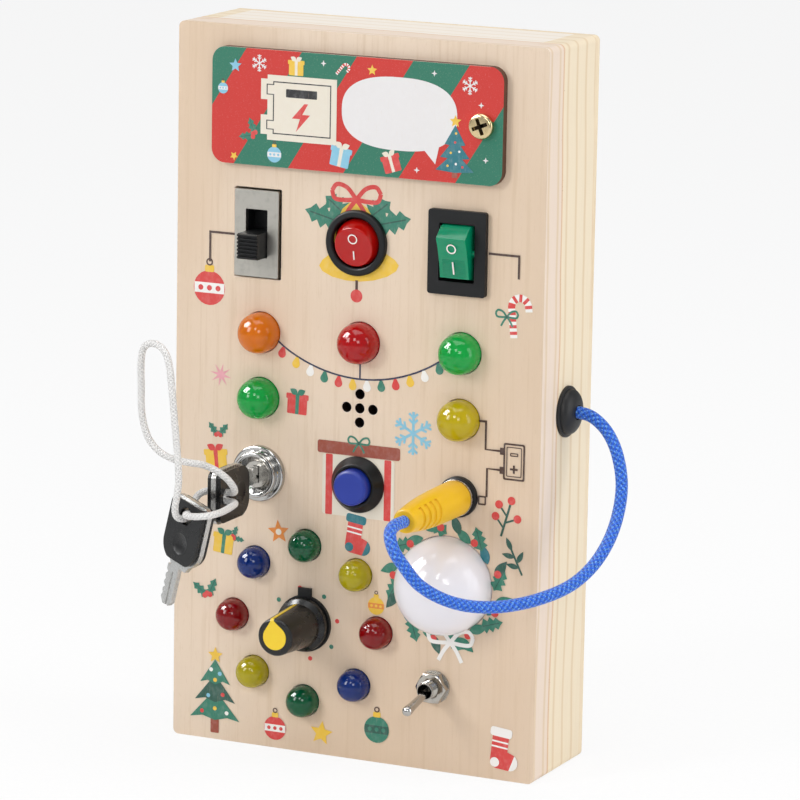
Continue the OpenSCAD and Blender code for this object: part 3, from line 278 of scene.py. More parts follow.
class Surface:
    """A material under way: its node tree and the patterns that the finishes share."""

    def __init__(self, name: str) -> None:
        """Starts an empty material."""
        self.material = bpy.data.materials.new(name)
        self.material.use_nodes = True
        self.tree = self.material.node_tree
        self.tree.nodes.clear()

    def coordinates(self, per_mm: Place, space: Space = Space.OBJECT,
                    turn: Place = (0.0, 0.0, 0.0)) -> bpy.types.NodeSocket:
        """Coordinates scaled to pattern units per millimetre (or per UV unit)."""
        source = add_node(self.tree, "ShaderNodeTexCoord").outputs[space.value]
        factor = 1 / MM if space is Space.OBJECT else 1.0
        scale = tuple(v * factor for v in per_mm)
        if any(turn):
            angles = tuple(math.radians(v) for v in turn)
            source = add_node(self.tree, "ShaderNodeMapping",
                              {"Vector": source, "Rotation": angles}).outputs[0]
        return add_node(self.tree, "ShaderNodeMapping",
                        {"Vector": source, "Scale": scale}).outputs[0]

    def noise(self, vector: bpy.types.NodeSocket, detail: float = 3.0, rough: float = 0.5,
              twist: float = 0.0) -> bpy.types.NodeSocket:
        """Soft noise of one unit's size, from 0 to 1."""
        return add_node(self.tree, "ShaderNodeTexNoise",
                        {"Vector": vector, "Scale": 1.0, "Detail": detail,
                         "Roughness": rough, "Distortion": twist}).outputs[0]

    def math(self, operation: str, *values) -> bpy.types.NodeSocket:
        """One sum on numbers or sockets."""
        return add_node(self.tree, "ShaderNodeMath", dict(enumerate(values)),
                        operation=operation).outputs[0]

    def spread(self, value: bpy.types.NodeSocket, low: float, high: float,
               to_low: float = 0.0, to_high: float = 1.0) -> bpy.types.NodeSocket:
        """The value's range low..high eased onto to_low..to_high."""
        return add_node(self.tree, "ShaderNodeMapRange",
                        {"Value": value, "From Min": low, "From Max": high,
                         "To Min": to_low, "To Max": to_high},
                        interpolation_type="SMOOTHSTEP").outputs[0]

    def blend(self, share, first, second, mode: str = "MIX") -> bpy.types.NodeSocket:
        """Mix of two colours (hex codes or sockets) by a share."""
        a, b = (linear(c) if isinstance(c, str) else c for c in (first, second))
        return add_node(self.tree, "ShaderNodeMix", {0: share, 6: a, 7: b},
                        data_type="RGBA", blend_type=mode).outputs[2]

    def parts(self, vector: bpy.types.NodeSocket) -> list[bpy.types.NodeSocket]:
        """The three numbers of a vector."""
        return list(add_node(self.tree, "ShaderNodeSeparateXYZ", {0: vector}).outputs)

    def bump(self, height: bpy.types.NodeSocket, depth_mm: float,
             under: Optional[bpy.types.NodeSocket] = None) -> bpy.types.NodeSocket:
        """Normal of a relief of that depth in millimetres, over another one."""
        inputs = {"Height": height, "Distance": depth_mm * MM, "Strength": 1.0}
        if under is not None:
            inputs["Normal"] = under
        return add_node(self.tree, "ShaderNodeBump", inputs).outputs[0]

    def close(self, **inputs) -> bpy.types.Material:
        """Ends the material with its shader; names use _ for a blank."""
        names = {key.replace("_", " "): value for key, value in inputs.items()}
        shader = add_node(self.tree, "ShaderNodeBsdfPrincipled", names)
        add_node(self.tree, "ShaderNodeOutputMaterial", {0: shader.outputs[0]})
        return self.material


@dataclass(frozen=True)
class Finish:
    """A material by process; made once, when it is first asked for.

    Attributes:
        name: material and process.
        colour: main colour as an sRGB hex code.
        roughness: mean roughness.
    """
    name: str
    colour: str
    roughness: float

    def dress(self, surface: Surface) -> bpy.types.Material:
        """Builds the node tree. Each kind of finish has its own."""
        raise NotImplementedError

    def material(self) -> bpy.types.Material:
        """The finish's material."""
        return bpy.data.materials.get(self.name) or self.dress(Surface(self.name))


@dataclass(frozen=True)
class Moulded(Finish):
    """Injection-moulded plastic or rubber with a fine eroded grain.

    Attributes:
        grain: size of the mould's grain in mm.
        depth: depth of that grain in mm.
        scuff: how much lighter the handled patches are.
        through: share of light that passes through, for clear plastics.
        glow: share of light that scatters inside, for milky plastics.
        reach: distance in mm that light travels inside.
        shine: strength of its reflections, 0.5 for common plastics.
    """
    grain: float = 0.25
    depth: float = 0.006
    scuff: float = 0.12
    through: float = 0.0
    glow: float = 0.0
    reach: float = 1.5
    shine: float = 0.5

    def dress(self, surface: Surface) -> bpy.types.Material:
        """Grain, handled patches and uneven gloss."""
        fine = surface.noise(surface.coordinates((1 / self.grain,) * 3), 2.0)
        patch = surface.noise(surface.coordinates((0.21, 0.17, 0.19)), 4.0, 0.6)
        worn = surface.spread(patch, 0.42, 0.75, 0.0, self.scuff)
        colour = surface.blend(worn, self.colour, "#ffffff", "SOFT_LIGHT")
        rough = surface.math("ADD", surface.spread(patch, 0.3, 0.7, -0.06, 0.06), self.roughness)
        return surface.close(
            Base_Color=colour, Roughness=rough, Normal=surface.bump(fine, self.depth),
            Transmission_Weight=self.through, Subsurface_Weight=self.glow,
            Subsurface_Radius=(1.0, 1.0, 1.0), Subsurface_Scale=self.reach * MM, IOR=1.49,
            Specular_IOR_Level=self.shine)


@dataclass(frozen=True)
class Metal(Finish):
    """Bare or plated metal with the marks of its last process.

    Attributes:
        lines: pattern units per mm along x, y and z; unequal ones give brushed lines.
        depth: depth of the marks in mm.
        dull: colour of the duller, handled patches.
    """
    lines: Place = (2.0, 2.0, 2.0)
    depth: float = 0.002
    dull: str = "#8d8a84"

    def dress(self, surface: Surface) -> bpy.types.Material:
        """Fine marks, duller patches and uneven gloss."""
        marks = surface.noise(surface.coordinates(self.lines), 3.0, 0.6)
        patch = surface.noise(surface.coordinates((0.5, 0.45, 0.4)), 3.0)
        share = surface.spread(patch, 0.45, 0.8, 0.0, 0.35)
        colour = surface.blend(share, self.colour, self.dull)
        rough = surface.math("ADD", surface.spread(marks, 0.3, 0.7, -0.05, 0.07), self.roughness)
        return surface.close(Base_Color=colour, Metallic=1.0, Roughness=rough,
                             Normal=surface.bump(marks, self.depth))


@dataclass(frozen=True)
class Veneer(Finish):
    """Sanded birch face of the plywood, its grain upright.

    Attributes:
        late: colour of the darker grain.
        warm: colour that the sheet drifts to.
    """
    late: str = "#d3b898"
    warm: str = "#dfc6ab"

    def dress(self, surface: Surface) -> bpy.types.Material:
        """Faint long grain, short pores and a slow drift of colour."""
        drift = surface.noise(surface.coordinates((0.012, 0.012, 0.006)), 2.0)
        long = surface.noise(surface.coordinates((0.55, 0.55, 0.018)), 5.0, 0.62, 0.6)
        pores = surface.noise(surface.coordinates((3.6, 3.6, 0.30)), 2.0, 0.6)
        base = surface.blend(surface.spread(drift, 0.35, 0.65), self.colour, self.warm)
        grain = surface.blend(surface.spread(long, 0.48, 0.74, 0.0, 0.42), base, self.late)
        colour = surface.blend(surface.spread(pores, 0.60, 0.72, 0.0, 0.30), grain, self.late)
        return surface.close(
            Base_Color=colour, Roughness=surface.spread(long, 0.3, 0.7, 0.58, 0.70),
            Normal=surface.bump(pores, 0.012, surface.bump(long, 0.02)))


@dataclass(frozen=True)
class EdgePine(Finish):
    """Sawn and sanded pine of the frame's sides: bands along the depth.

    Attributes:
        front: colour of the paler band next to the front.
        line: colour of the growth line that ends it.
        late: colour of the darker grain lines.
    """
    front: str = "#eddac9"
    line: str = "#d9a873"
    late: str = "#dcc095"

    def dress(self, surface: Surface) -> bpy.types.Material:
        """Bands by depth, wavy growth lines and small specks."""
        y = surface.parts(surface.coordinates((1.0, 1.0, 1.0)))[1]
        wave = surface.noise(surface.coordinates((0.018, 0.02, 0.011)), 2.0)
        depth = surface.math("ADD", surface.math("ADD", y, -SIZE.face),
                             surface.spread(wave, 0.2, 0.8, -1.6, 1.6))
        base = surface.blend(surface.spread(depth, 12.3, 13.3), self.front, self.colour)
        grow = surface.math("ABSOLUTE", surface.math("ADD", depth, -12.9))
        lined = surface.blend(surface.spread(grow, 0.0, 0.9, 0.75, 0.0), base, self.line)
        rings = surface.math("SINE", surface.math("MULTIPLY", depth, 2 * math.pi / 7.6))
        ringed = surface.blend(surface.spread(rings, 0.62, 1.0, 0.0, 0.55), lined, self.late)
        fibre = surface.noise(surface.coordinates((0.05, 4.0, 0.05)), 3.0, 0.6)
        colour = surface.blend(surface.spread(fibre, 0.5, 0.8, 0.0, 0.28), ringed, self.late)
        speck = surface.noise(surface.coordinates((1.4, 1.4, 1.4)), 1.0)
        near = surface.spread(grow, 0.4, 1.6, 1.0, 0.0)
        spots = surface.math("MULTIPLY", surface.spread(speck, 0.70, 0.76), near)
        colour = surface.blend(surface.math("MULTIPLY", spots, 0.6), colour, "#9a6b45")
        return surface.close(Base_Color=colour, Roughness=self.roughness,
                             Normal=surface.bump(fibre, 0.02))


@dataclass(frozen=True)
class Striped(Finish):
    """Printed plywood: slanting stripes in two inks under a matt varnish.

    Attributes:
        other: colour of the second ink.
        pitch: distance of one pair of stripes along x in mm.
        lean: how far a stripe moves right for each mm up.
        start: x of a stripe's left edge at z = 0 of the board.
    """
    other: str = "#1f755c"
    pitch: float = 41.2
    lean: float = 0.635
    start: float = -154.2

    def dress(self, surface: Surface) -> bpy.types.Material:
        """Two inks by place, a little speckle and the wood's relief."""
        x, _, z = surface.parts(surface.coordinates((1.0, 1.0, 1.0)))
        along = surface.math("SUBTRACT", x, surface.math("MULTIPLY", z, self.lean))
        along = surface.math("DIVIDE", surface.math("SUBTRACT", along, self.start), self.pitch)
        share = surface.math("FRACT", surface.math("ADD", along, 100.0))
        edge = 0.004
        second = surface.math("SUBTRACT", surface.spread(share, 0.5 - edge, 0.5 + edge),
                              surface.spread(share, 1 - edge, 1.0))
        inks = surface.blend(second, self.colour, self.other)
        speck = surface.noise(surface.coordinates((2.4, 2.4, 2.4)), 3.0, 0.7)
        colour = surface.blend(surface.spread(speck, 0.56, 0.8, 0.0, 0.14), inks, "#fff4e4")
        grain = surface.noise(surface.coordinates((0.1, 2.0, 2.2)), 3.0)
        return surface.close(Base_Color=colour, Roughness=self.roughness,
                             Normal=surface.bump(grain, 0.02))


@dataclass(frozen=True)
class Braided(Finish):
    """Braided textile cord; its UV runs along the cord and round it.

    Attributes:
        light: colour of the strands that cross over.
        length: the cord's length in mm.
        pitch: length of one crossing in mm.
        strands: crossings round the cord.
        gap_shade: how dark the painted shade in the gaps between strands is.
    """
    light: str = "#ffffff"
    length: float = 100.0
    pitch: float = 2.2
    strands: int = 6
    gap_shade: float = 0.45

    def dress(self, surface: Surface) -> bpy.types.Material:
        """Two families of slanting strands, single filaments in each, and painted shade in the gaps
        between them.
        """
        turns = self.length / self.pitch
        u, v, _ = surface.parts(surface.coordinates((turns, self.strands, 1.0), Space.UV))
        full = 2 * math.pi
        one = surface.math("SINE", surface.math("MULTIPLY", surface.math("ADD", u, v), full))
        two = surface.math("SINE", surface.math("MULTIPLY", surface.math("SUBTRACT", u, v), full))
        over = surface.spread(surface.math("SUBTRACT", one, two), -0.25, 0.25)
        height = surface.math("MAXIMUM", one, two)
        fleck = surface.noise(surface.coordinates((turns * 3, self.strands * 4.0, 1.0), Space.UV),
                              2.0, 0.6)
        # Painted shade: the gaps between the strands are darkened towards dark navy.
        painted_gap_shade = surface.spread(height, -0.6, 0.5, self.gap_shade, 0.0)
        base = surface.blend(painted_gap_shade, self.colour, "#0b1020", "MULTIPLY")
        share = surface.math("MULTIPLY", surface.spread(fleck, 0.40, 0.66, 0.05, 0.75), over)
        colour = surface.blend(share, base, self.light)
        normal = surface.bump(fleck, 0.05, surface.bump(height, 0.16))
        return surface.close(Base_Color=colour, Roughness=self.roughness, Normal=normal,
                             Sheen_Weight=0.25, Sheen_Roughness=0.4)


@dataclass(frozen=True)
class Ink(Finish):
    """Screen-printed ink on the sanded wood, whose pores show through.

    Attributes:
        under: colour of the wood that shows in the pores.
    """
    under: str = "#dcc4ac"

    def dress(self, surface: Surface) -> bpy.types.Material:
        """Even ink broken by pores, with the wood's own relief."""
        pores = surface.noise(surface.coordinates((3.6, 3.6, 0.30)), 2.0, 0.6)
        blotch = surface.noise(surface.coordinates((0.6, 0.6, 0.5)), 3.0)
        colour = surface.blend(surface.spread(pores, 0.60, 0.76, 0.0, 0.16), self.colour,
                               self.under)
        colour = surface.blend(surface.spread(blotch, 0.4, 0.8, 0.0, 0.06), colour, "#ffffff")
        return surface.close(Base_Color=colour, Roughness=self.roughness,
                             Normal=surface.bump(pores, 0.012))


BIRCH = Veneer("birch_plywood_sanded", "#e9d4bd", 0.62)
# Planed pine of the back, with broader grain.
BACK = Veneer("pine_board_planed", "#f0dfc2", 0.62, late="#d2ab7c", warm="#ead3b0")
PINE = EdgePine("pine_sawn_and_sanded", "#f1e1c6", 0.62)
# The short rails at the ends, whose top shows, get a paler, whiter pine than the side rails.
PINE_END = EdgePine("pine_end_planed", "#f5ece0", 0.62, late="#ead9c0")
# Edge of the cover, browned by the cutting beam.
BURNT = Moulded("plywood_beam_cut_edge", "#5a3a28", 0.7, grain=0.5, depth=0.03, scuff=0.3)
# Walls of the sound holes, charred by the cutting beam.
SCORCHED = Moulded("plywood_beam_charred", "#20130d", 0.8, grain=0.5, depth=0.03, shine=0.2)
# Varnished rim of the cover where the ink stops.
RIM = Moulded("plywood_varnished_rim", "#e8d9c6", 0.5, grain=0.4, depth=0.02)
COVER_INK = Striped("plywood_screen_printed", "#cd2a20", 0.48)
BLACK = Moulded("abs_black_eroded", "#0e0f11", 0.46, shine=0.32)
BLACK_SATIN = Moulded("abs_black_satin", "#0d0e10", 0.38, grain=0.2, depth=0.003, shine=0.32)
BLACK_GLOSS = Moulded("abs_black_polished_mould", "#0b0c0d", 0.30, depth=0.002, scuff=0.08)
RUBBER = Moulded("rubber_black_moulded", "#0c0d0f", 0.48, grain=0.35, depth=0.008)
BLUE_CAP = Moulded("abs_blue_satin", "#17329a", 0.40, depth=0.004, scuff=0.08)
YELLOW = Moulded("pvc_yellow_overmoulded", "#ecb900", 0.38, grain=0.3, depth=0.005, scuff=0.08)
YELLOW_INLAY = Moulded("abs_yellow_two_shot", "#f4cf2a", 0.40, depth=0.004)
WHITE_PLASTIC = Moulded("abs_white_moulded", "#eeece6", 0.4, depth=0.004)
GREY_PLASTIC = Moulded("phenolic_grey_moulded", "#3f4043", 0.5)
CONE = Moulded("paper_pressed_cone", "#3c3e42", 0.8, grain=0.4, depth=0.03)
OPAL = Moulded("polycarbonate_opal_blown", "#f4f0f6", 0.08, grain=2.0, depth=0.002,
               scuff=0.0, glow=0.4, reach=3.0)
SATIN_STEEL = Metal("steel_satin_rolled", "#b3b0a8", 0.36, lines=(0.4, 0.4, 12.0), depth=0.003)
CHROME = Metal("brass_chrome_plated", "#b9b8b6", 0.10, depth=0.001)
NICKEL = Metal("brass_nickel_plated", "#b6b2ab", 0.18, depth=0.002)
KEY_STEEL = Metal("steel_key_stamped", "#c6c6c4", 0.27, lines=(3.0, 3.0, 0.6), depth=0.004)
BRASS = Metal("steel_brass_plated", "#dcc79a", 0.20, depth=0.002, dull="#a98c58")
# Painted shade: dark colour on the floor of a screw's cross recess.
RECESS_PAINTED_SHADE = Moulded("screw_recess_painted_shade", "#2b2318", 0.7, shine=0.2)
TIN = Metal("copper_tinned", "#c9b06b", 0.35, dull="#8b7340")
STEEL = Metal("steel_zinc_plated", "#c9cac8", 0.30, depth=0.003)
CIRCUIT = Moulded("glass_epoxy_board_green", "#245c36", 0.45, grain=0.6, depth=0.01)
CELL_WRAP = Moulded("pvc_shrink_green", "#3b7a57", 0.35)
LED_CLEAR = Moulded("epoxy_cast_clear", "#f4f1e2", 0.15, glow=0.5, reach=1.5)


def lens(name: str, colour: str) -> Moulded:
    """Clear coloured styrene of a lamp's cap."""
    return Moulded(f"styrene_{name}_polished_mould", colour, 0.06, grain=1.5, depth=0.002,
                   scuff=0.0, through=0.10, glow=0.4, reach=1.2, shine=0.45)


LENS = {name: lens(name, code) for name, code in {
    "orange": "#dc7400", "red": "#b4060c", "green": "#08a845", "yellow": "#c6b008",
    "small_green": "#055c38", "small_yellow": "#b6a80a", "small_red": "#880408",
    "small_blue": "#0a2b74", "rocker_red": "#c00d08", "rocker_green": "#05966a"}.items()}

INK_CODES = {
    "red": "#d8403c", "green": "#2f7d66", "dark_green": "#27594b", "yellow": "#efc33e",
    "white": "#f4f1ec", "label": "#e8e5e4", "cream": "#e9e0cf", "sky": "#86c3dc",
    "pink": "#e9a3ad", "brown": "#54392f", "black": "#1d1c20", "line": "#4b342c", "navy": "#272b4a",
    "orange": "#e58a35", "teal": "#1f7480", "rust": "#9c4a36"}
INKS = {name: Ink(f"ink_{name}_screen_printed", code, 0.55) for name, code in INK_CODES.items()}


# ---------------------------------------------------------------- shapes

class Form:
    """A closed shape under way in millimetres: x right, y up, z out of its seat."""

    def __init__(self) -> None:
        """Starts an empty shape."""
        self.bm = bmesh.new()

    def _mark(self, before: set, material: int) -> list:
        """Gives the faces made since before a material number and returns them."""
        fresh = [f for f in self.bm.faces if f not in before]
        for face in fresh:
            face.material_index = material
        return fresh

    def _ring(self, outline: Sequence[Point], z: float) -> list:
        """Closed line of edges along an outline at the height z."""
        verts = [self.bm.verts.new((x, y, z)) for x, y in outline]
        return [self.bm.edges.new(pair) for pair in zip(verts, verts[1:] + verts[:1])]

    def revolve(self, profile: Sequence[Point], soft: float = 0.0, steps: int = 72,
                material: int = 0, angle: float = 360.0) -> "Form":
        """Turns a profile of (radius, height) points about z.

        Args:
            profile: the points from the axis out and back, or a closed loop.
            soft: width that the profile's corners are rounded by.
            steps: number of facets.
            material: material number.
            angle: how far it turns.
        Returns:
            The form itself.
        """
        before = set(self.bm.faces)
        closed = profile[0] == profile[-1]
        points = list(profile[:-1] if closed else profile)
        verts = [self.bm.verts.new((r, 0, z)) for r, z in points]
        edges = [self.bm.edges.new(p) for p in zip(verts, verts[1:])]
        if closed:
            edges.append(self.bm.edges.new((verts[-1], verts[0])))
        if soft:
            sharp = [v for v in verts if len(v.link_edges) == 2 and self._turn(v) > 25]
            made = bmesh.ops.bevel(self.bm, geom=sharp, offset=soft, offset_type="OFFSET",
                                   segments=3, profile=0.5, affect="VERTICES", material=-1,
                                   clamp_overlap=True)
            kept = [v for v in verts if v.is_valid] + [v for v in made["verts"] if v.is_valid]
            verts = list(dict.fromkeys(kept))
            edges = list({e for v in verts for e in v.link_edges})
        bmesh.ops.spin(self.bm, geom=verts + edges, cent=(0, 0, 0), axis=(0, 0, 1),
                       dvec=(0, 0, 0), angle=math.radians(angle), steps=steps,
                       use_merge=angle == 360, use_duplicate=False)
        self._mark(before, material)
        return self

    @staticmethod
    def _turn(vert: bmesh.types.BMVert) -> float:
        """Angle in degrees by which a line turns at one of its points."""
        a, b = (e.other_vert(vert).co for e in vert.link_edges)
        first, second = vert.co - a, b - vert.co
        if first.length < 1e-6 or second.length < 1e-6:
            return 0.0
        return math.degrees(first.angle(second))

    def prism(self, outline: Sequence[Point], low: float, high: float,
              holes: Iterable[Sequence[Point]] = (), material: int = 0) -> list:
        """Raises an outline with holes from low to high and returns the new faces."""
        before = set(self.bm.faces)
        edges = self._ring(outline, low)
        for hole in holes:
            edges += self._ring(hole, low)
        made = bmesh.ops.triangle_fill(self.bm, use_beauty=True, use_dissolve=False, edges=edges)
        floor = [g for g in made["geom"] if isinstance(g, bmesh.types.BMFace)]
        raised = bmesh.ops.extrude_face_region(self.bm, geom=floor)
        tops = [g for g in raised["geom"] if isinstance(g, bmesh.types.BMVert)]
        bmesh.ops.translate(self.bm, verts=tops, vec=(0, 0, high - low))
        bmesh.ops.recalc_face_normals(self.bm, faces=self.bm.faces)
        return self._mark(before, material)

    def sheet(self, outline: Sequence[Point], z: float, material: int = 0,
              holes: Iterable[Sequence[Point]] = ()) -> "Form":
        """Flat area that faces out, for ink."""
        before = set(self.bm.faces)
        edges = self._ring(outline, z)
        for hole in holes:
            edges += self._ring(hole, z)
        bmesh.ops.triangle_fill(self.bm, use_beauty=True, use_dissolve=False, edges=edges)
        for face in self._mark(before, material):
            face.normal_update()
            if face.normal.z < 0:
                face.normal_flip()
        return self

    def soften(self, width: float, where: Optional[Callable] = None, segments: int = 2,
               limit: float = 40.0, material: int = -1) -> "Form":
        """Bevels the sharp edges that the test where picks.

        Args:
            width: width of the bevel.
            where: test on an edge's middle; every sharp edge without it.
            segments: facets across the bevel.
            limit: least angle of a sharp edge in degrees.
            material: material number of the bevel, -1 for its neighbours'.
        Returns:
            The form itself.
        """
        bmesh.ops.remove_doubles(self.bm, verts=self.bm.verts, dist=1e-4)
        bmesh.ops.recalc_face_normals(self.bm, faces=self.bm.faces)
        edges = [e for e in self.bm.edges if len(e.link_faces) == 2
                 and e.calc_face_angle() > math.radians(limit)
                 and (where is None or where((e.verts[0].co + e.verts[1].co) / 2))]
        bmesh.ops.bevel(self.bm, geom=edges, offset=width, offset_type="OFFSET",
                        segments=segments, profile=0.5, affect="EDGES", material=material,
                        clamp_overlap=True)
        return self

    def block(self, size: Place, centre: Place, soft: float = 0.0, material: int = 0) -> "Form":
        """Block with eased edges."""
        part = Form()
        bmesh.ops.create_cube(part.bm, size=1.0)
        bmesh.ops.scale(part.bm, verts=part.bm.verts, vec=size)
        if soft:
            part.soften(soft)
        return self.join(part, moved(*centre), material)

    def join(self, other: "Form", place: Matrix = Matrix.Identity(4),
             material: Optional[int] = None) -> "Form":
        """Adds another form at a place; it keeps its material numbers unless given one."""
        before = set(self.bm.faces)
        mesh = bpy.data.meshes.new("part")
        other.bm.to_mesh(mesh)
        mesh.transform(place)
        self.bm.from_mesh(mesh)
        bpy.data.meshes.remove(mesh)
        if material is not None:
            self._mark(before, material)
        return self

    def turn(self, place: Matrix) -> "Form":
        """Moves the whole form."""
        self.bm.transform(place)
        return self

    def tidy(self) -> "Form":
        """Merges double points and turns the faces outward."""
        bmesh.ops.remove_doubles(self.bm, verts=self.bm.verts, dist=1e-4)
        bmesh.ops.recalc_face_normals(self.bm, faces=self.bm.faces)
        return self

    def carve(self, cutter: "Form", mode: str = "DIFFERENCE") -> "Form":
        """Cuts another form out of this one, or keeps what both share."""
        objects = []
        for form in (self, cutter):
            form.tidy()
            mesh = bpy.data.meshes.new("carve")
            form.bm.to_mesh(mesh)
            objects.append(bpy.data.objects.new("carve", mesh))
            bpy.context.scene.collection.objects.link(objects[-1])
        modifier = objects[0].modifiers.new("carve", "BOOLEAN")
        modifier.operation, modifier.object, modifier.solver = mode, objects[1], "EXACT"
        graph = bpy.context.evaluated_depsgraph_get()
        mesh = bpy.data.meshes.new_from_object(objects[0].evaluated_get(graph))
        self.bm.clear()
        self.bm.from_mesh(mesh)
        for unused in (mesh, *(o.data for o in objects)):
            bpy.data.meshes.remove(unused)
        return self

    def piece(self, name: str, finishes: Sequence[Finish], body: str,
              seat: Matrix = Matrix.Identity(4), nodes: Sequence[str] = (),
              slot: Optional[str] = None, smooth: float = 35.0,
              closed: bool = True) -> bpy.types.Object:
        """Makes the finished object.

        Args:
            name: the piece's name.
            finishes: one finish for each material number.
            body: the CAD body that it moves with.
            seat: place of the form in the row frame, in mm.
            nodes: CAD nodes that it stands for.
            slot: name of a slot in the record; not used.
            smooth: edges sharper than this many degrees stay sharp.
            closed: whether its normals are turned outward as one closed shape.
        Returns:
            The object.
        """
        if closed:
            self.tidy()
        self.bm.transform(Matrix.Scale(MM, 4) @ seat)
        mesh = bpy.data.meshes.new(name)
        self.bm.to_mesh(mesh)
        self.bm.free()
        for finish in finishes:
            mesh.materials.append(finish.material())
        mesh.shade_smooth()
        mesh.set_sharp_from_angle(angle=math.radians(smooth))
        piece = bpy.data.objects.new(name, mesh)
        bpy.context.scene.collection.objects.link(piece)
        if closed:
            weighted = piece.modifiers.new("weighted_normals", "WEIGHTED_NORMAL")
            weighted.keep_sharp = True
        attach(piece, body)
        if nodes:
            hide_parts(*nodes)
        LOG.info("%s: %d faces on %s", name, len(mesh.polygons), body)
        return piece


def dress_node(node: str, finish: Finish, soft: float = 0.0) -> None:
    """Gives a CAD node its finish, and eased edges of that width in mm."""
    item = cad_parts[node]
    item.data.materials.clear()
    item.data.materials.append(finish.material())
    for polygon in item.data.polygons:
        polygon.material_index = 0
    if soft:
        weld = item.modifiers.new("weld", "WELD")
        weld.merge_threshold = 1e-6
        bevel = item.modifiers.new("bevel", "BEVEL")
        bevel.width, bevel.segments = soft * MM, 2
        bevel.limit_method, bevel.angle_limit = "ANGLE", math.radians(50)
    LOG.info("%s: dressed with %s", node, finish.name)


class Assembly:
    """Base of every sub-assembly."""

    def build(self) -> None:
        """Makes and dresses all pieces of the sub-assembly."""
        raise NotImplementedError


# ---------------------------------------------------------------- camera and studio

@dataclass
class Studio(Assembly):
    """Camera, lights, floor and background.

    Attributes:
        azimuth: side view angle of the camera in degrees, to the right of the front.
        elevation: its height angle.
        roll: its turn about its own axis.
        place: where it stands, in metres.
        lens: its focal length in mm on a 36 mm sensor.
    """
    azimuth: float = 24.95
    elevation: float = 11.46
    roll: float = 1.03
    place: Place = (0.69099, -1.47066, 0.45141)
    lens: float = 218.0

    def camera(self) -> None:
        """Sets the camera at the photograph's viewing angle."""
        a, e, r = (math.radians(v) for v in (self.azimuth, self.elevation, self.roll))
        back = Vector((math.sin(a) * math.cos(e), -math.cos(a) * math.cos(e), math.sin(e)))
        right = Vector((0, 0, 1)).cross(back).normalized()
        up = back.cross(right)
        x = math.cos(r) * right + math.sin(r) * up
        y = math.cos(r) * up - math.sin(r) * right
        turn = Matrix((x, y, back)).transposed().to_4x4()
        data = bpy.data.cameras.new("camera")
        data.lens, data.sensor_width = self.lens, 36.0
        data.dof.use_dof = False
        data.clip_start, data.clip_end = 0.05, 20.0
        camera = bpy.data.objects.new("camera", data)
        camera.matrix_world = Matrix.Translation(self.place) @ turn
        bpy.context.scene.collection.objects.link(camera)
        bpy.context.scene.camera = camera

    def light(self, name: str, place: Place, aim: Place, size: Point, watts: float,
              mirrored: bool = False) -> None:
        """Adds a soft box.

        Args:
            name: its name.
            place: where it stands, in metres.
            aim: the point that it shines at.
            size: its width and height in metres.
            watts: its power.
            mirrored: whether it shows only in reflections.
        """
        data = bpy.data.lights.new(name, "AREA")
        data.shape, data.size, data.size_y = "RECTANGLE", *size
        data.energy = watts
        light = bpy.data.objects.new(name, data)
        light.visible_diffuse = not mirrored
        light.matrix_world = (Matrix.Translation(place)
                              @ (Vector(place) - Vector(aim)).to_track_quat("Z", "Y")
                              .to_matrix().to_4x4())
        bpy.context.scene.collection.objects.link(light)

    def background(self) -> None:
        """Even studio light all round, and white behind the object."""
        world = bpy.data.worlds.new("studio")
        bpy.context.scene.world = world
        world.use_nodes = True
        tree = world.node_tree
        tree.nodes.clear()
        path = add_node(tree, "ShaderNodeLightPath")
        soft = add_node(tree, "ShaderNodeBackground",
                        {"Color": linear("#e9ebee"), "Strength": 0.42})
        white = add_node(tree, "ShaderNodeBackground",
                         {"Color": (1, 1, 1, 1), "Strength": 1.0})
        mix = add_node(tree, "ShaderNodeMixShader",
                       {0: path.outputs["Is Camera Ray"], 1: soft.outputs[0],
                        2: white.outputs[0]})
        add_node(tree, "ShaderNodeOutputWorld", {0: mix.outputs[0]})

    def floor(self) -> None:
        """Plain white floor under the board."""
        surface = Surface("floor_white_paper")
        fibre = surface.noise(surface.coordinates((0.5, 0.5, 0.5)), 2.0)
        colour = surface.blend(surface.spread(fibre, 0.4, 0.6), "#f7f7f7", "#fbfbfb")
        diffuse = add_node(surface.tree, "ShaderNodeBsdfDiffuse", {"Color": colour})
        glow = add_node(surface.tree, "ShaderNodeEmission", {"Color": (1, 1, 1, 1)})
        path = add_node(surface.tree, "ShaderNodeLightPath")
        share = surface.math("MULTIPLY", path.outputs["Is Camera Ray"], 0.86)
        mix = add_node(surface.tree, "ShaderNodeMixShader",
                       {0: share, 1: diffuse.outputs[0], 2: glow.outputs[0]})
        add_node(surface.tree, "ShaderNodeOutputMaterial", {0: mix.outputs[0]})
        shape = Form()
        bmesh.ops.create_grid(shape.bm, x_segments=4, y_segments=4, size=6.0)
        mesh = bpy.data.meshes.new("floor")
        shape.bm.to_mesh(mesh)
        mesh.materials.append(surface.material)
        floor = bpy.data.objects.new("floor", mesh)
        bpy.context.scene.collection.objects.link(floor)

    def build(self) -> None:
        """Sets up the whole studio."""
        self.camera()
        middle = (0.0, 0.0, 0.12)
        for name, place, size, watts in (
                ("key", (-0.75, -1.15, 0.75), (0.42, 0.62), 7),
                ("fill", (0.75, -1.25, 0.70), (0.40, 0.40), 2.8),
                ("side", (1.5, 0.25, 0.55), (0.9, 1.2), 9),
                ("top", (0.1, -0.1, 1.6), (1.2, 1.0), 10.5),
                ("window_left", (-1.10, -0.30, 0.98), (0.27, 0.66), 15),
                ("window_right", (-0.90, -0.58, 1.04), (0.27, 0.66), 15),
                ("window_far", (0.18, -1.35, 1.05), (0.3, 0.4), 3)):
            self.light(name, place, middle, size, watts, name.startswith("window"))
        self.background()
        self.floor()
        bpy.context.scene.view_settings.view_transform = "Standard"


# ---------------------------------------------------------------- cords

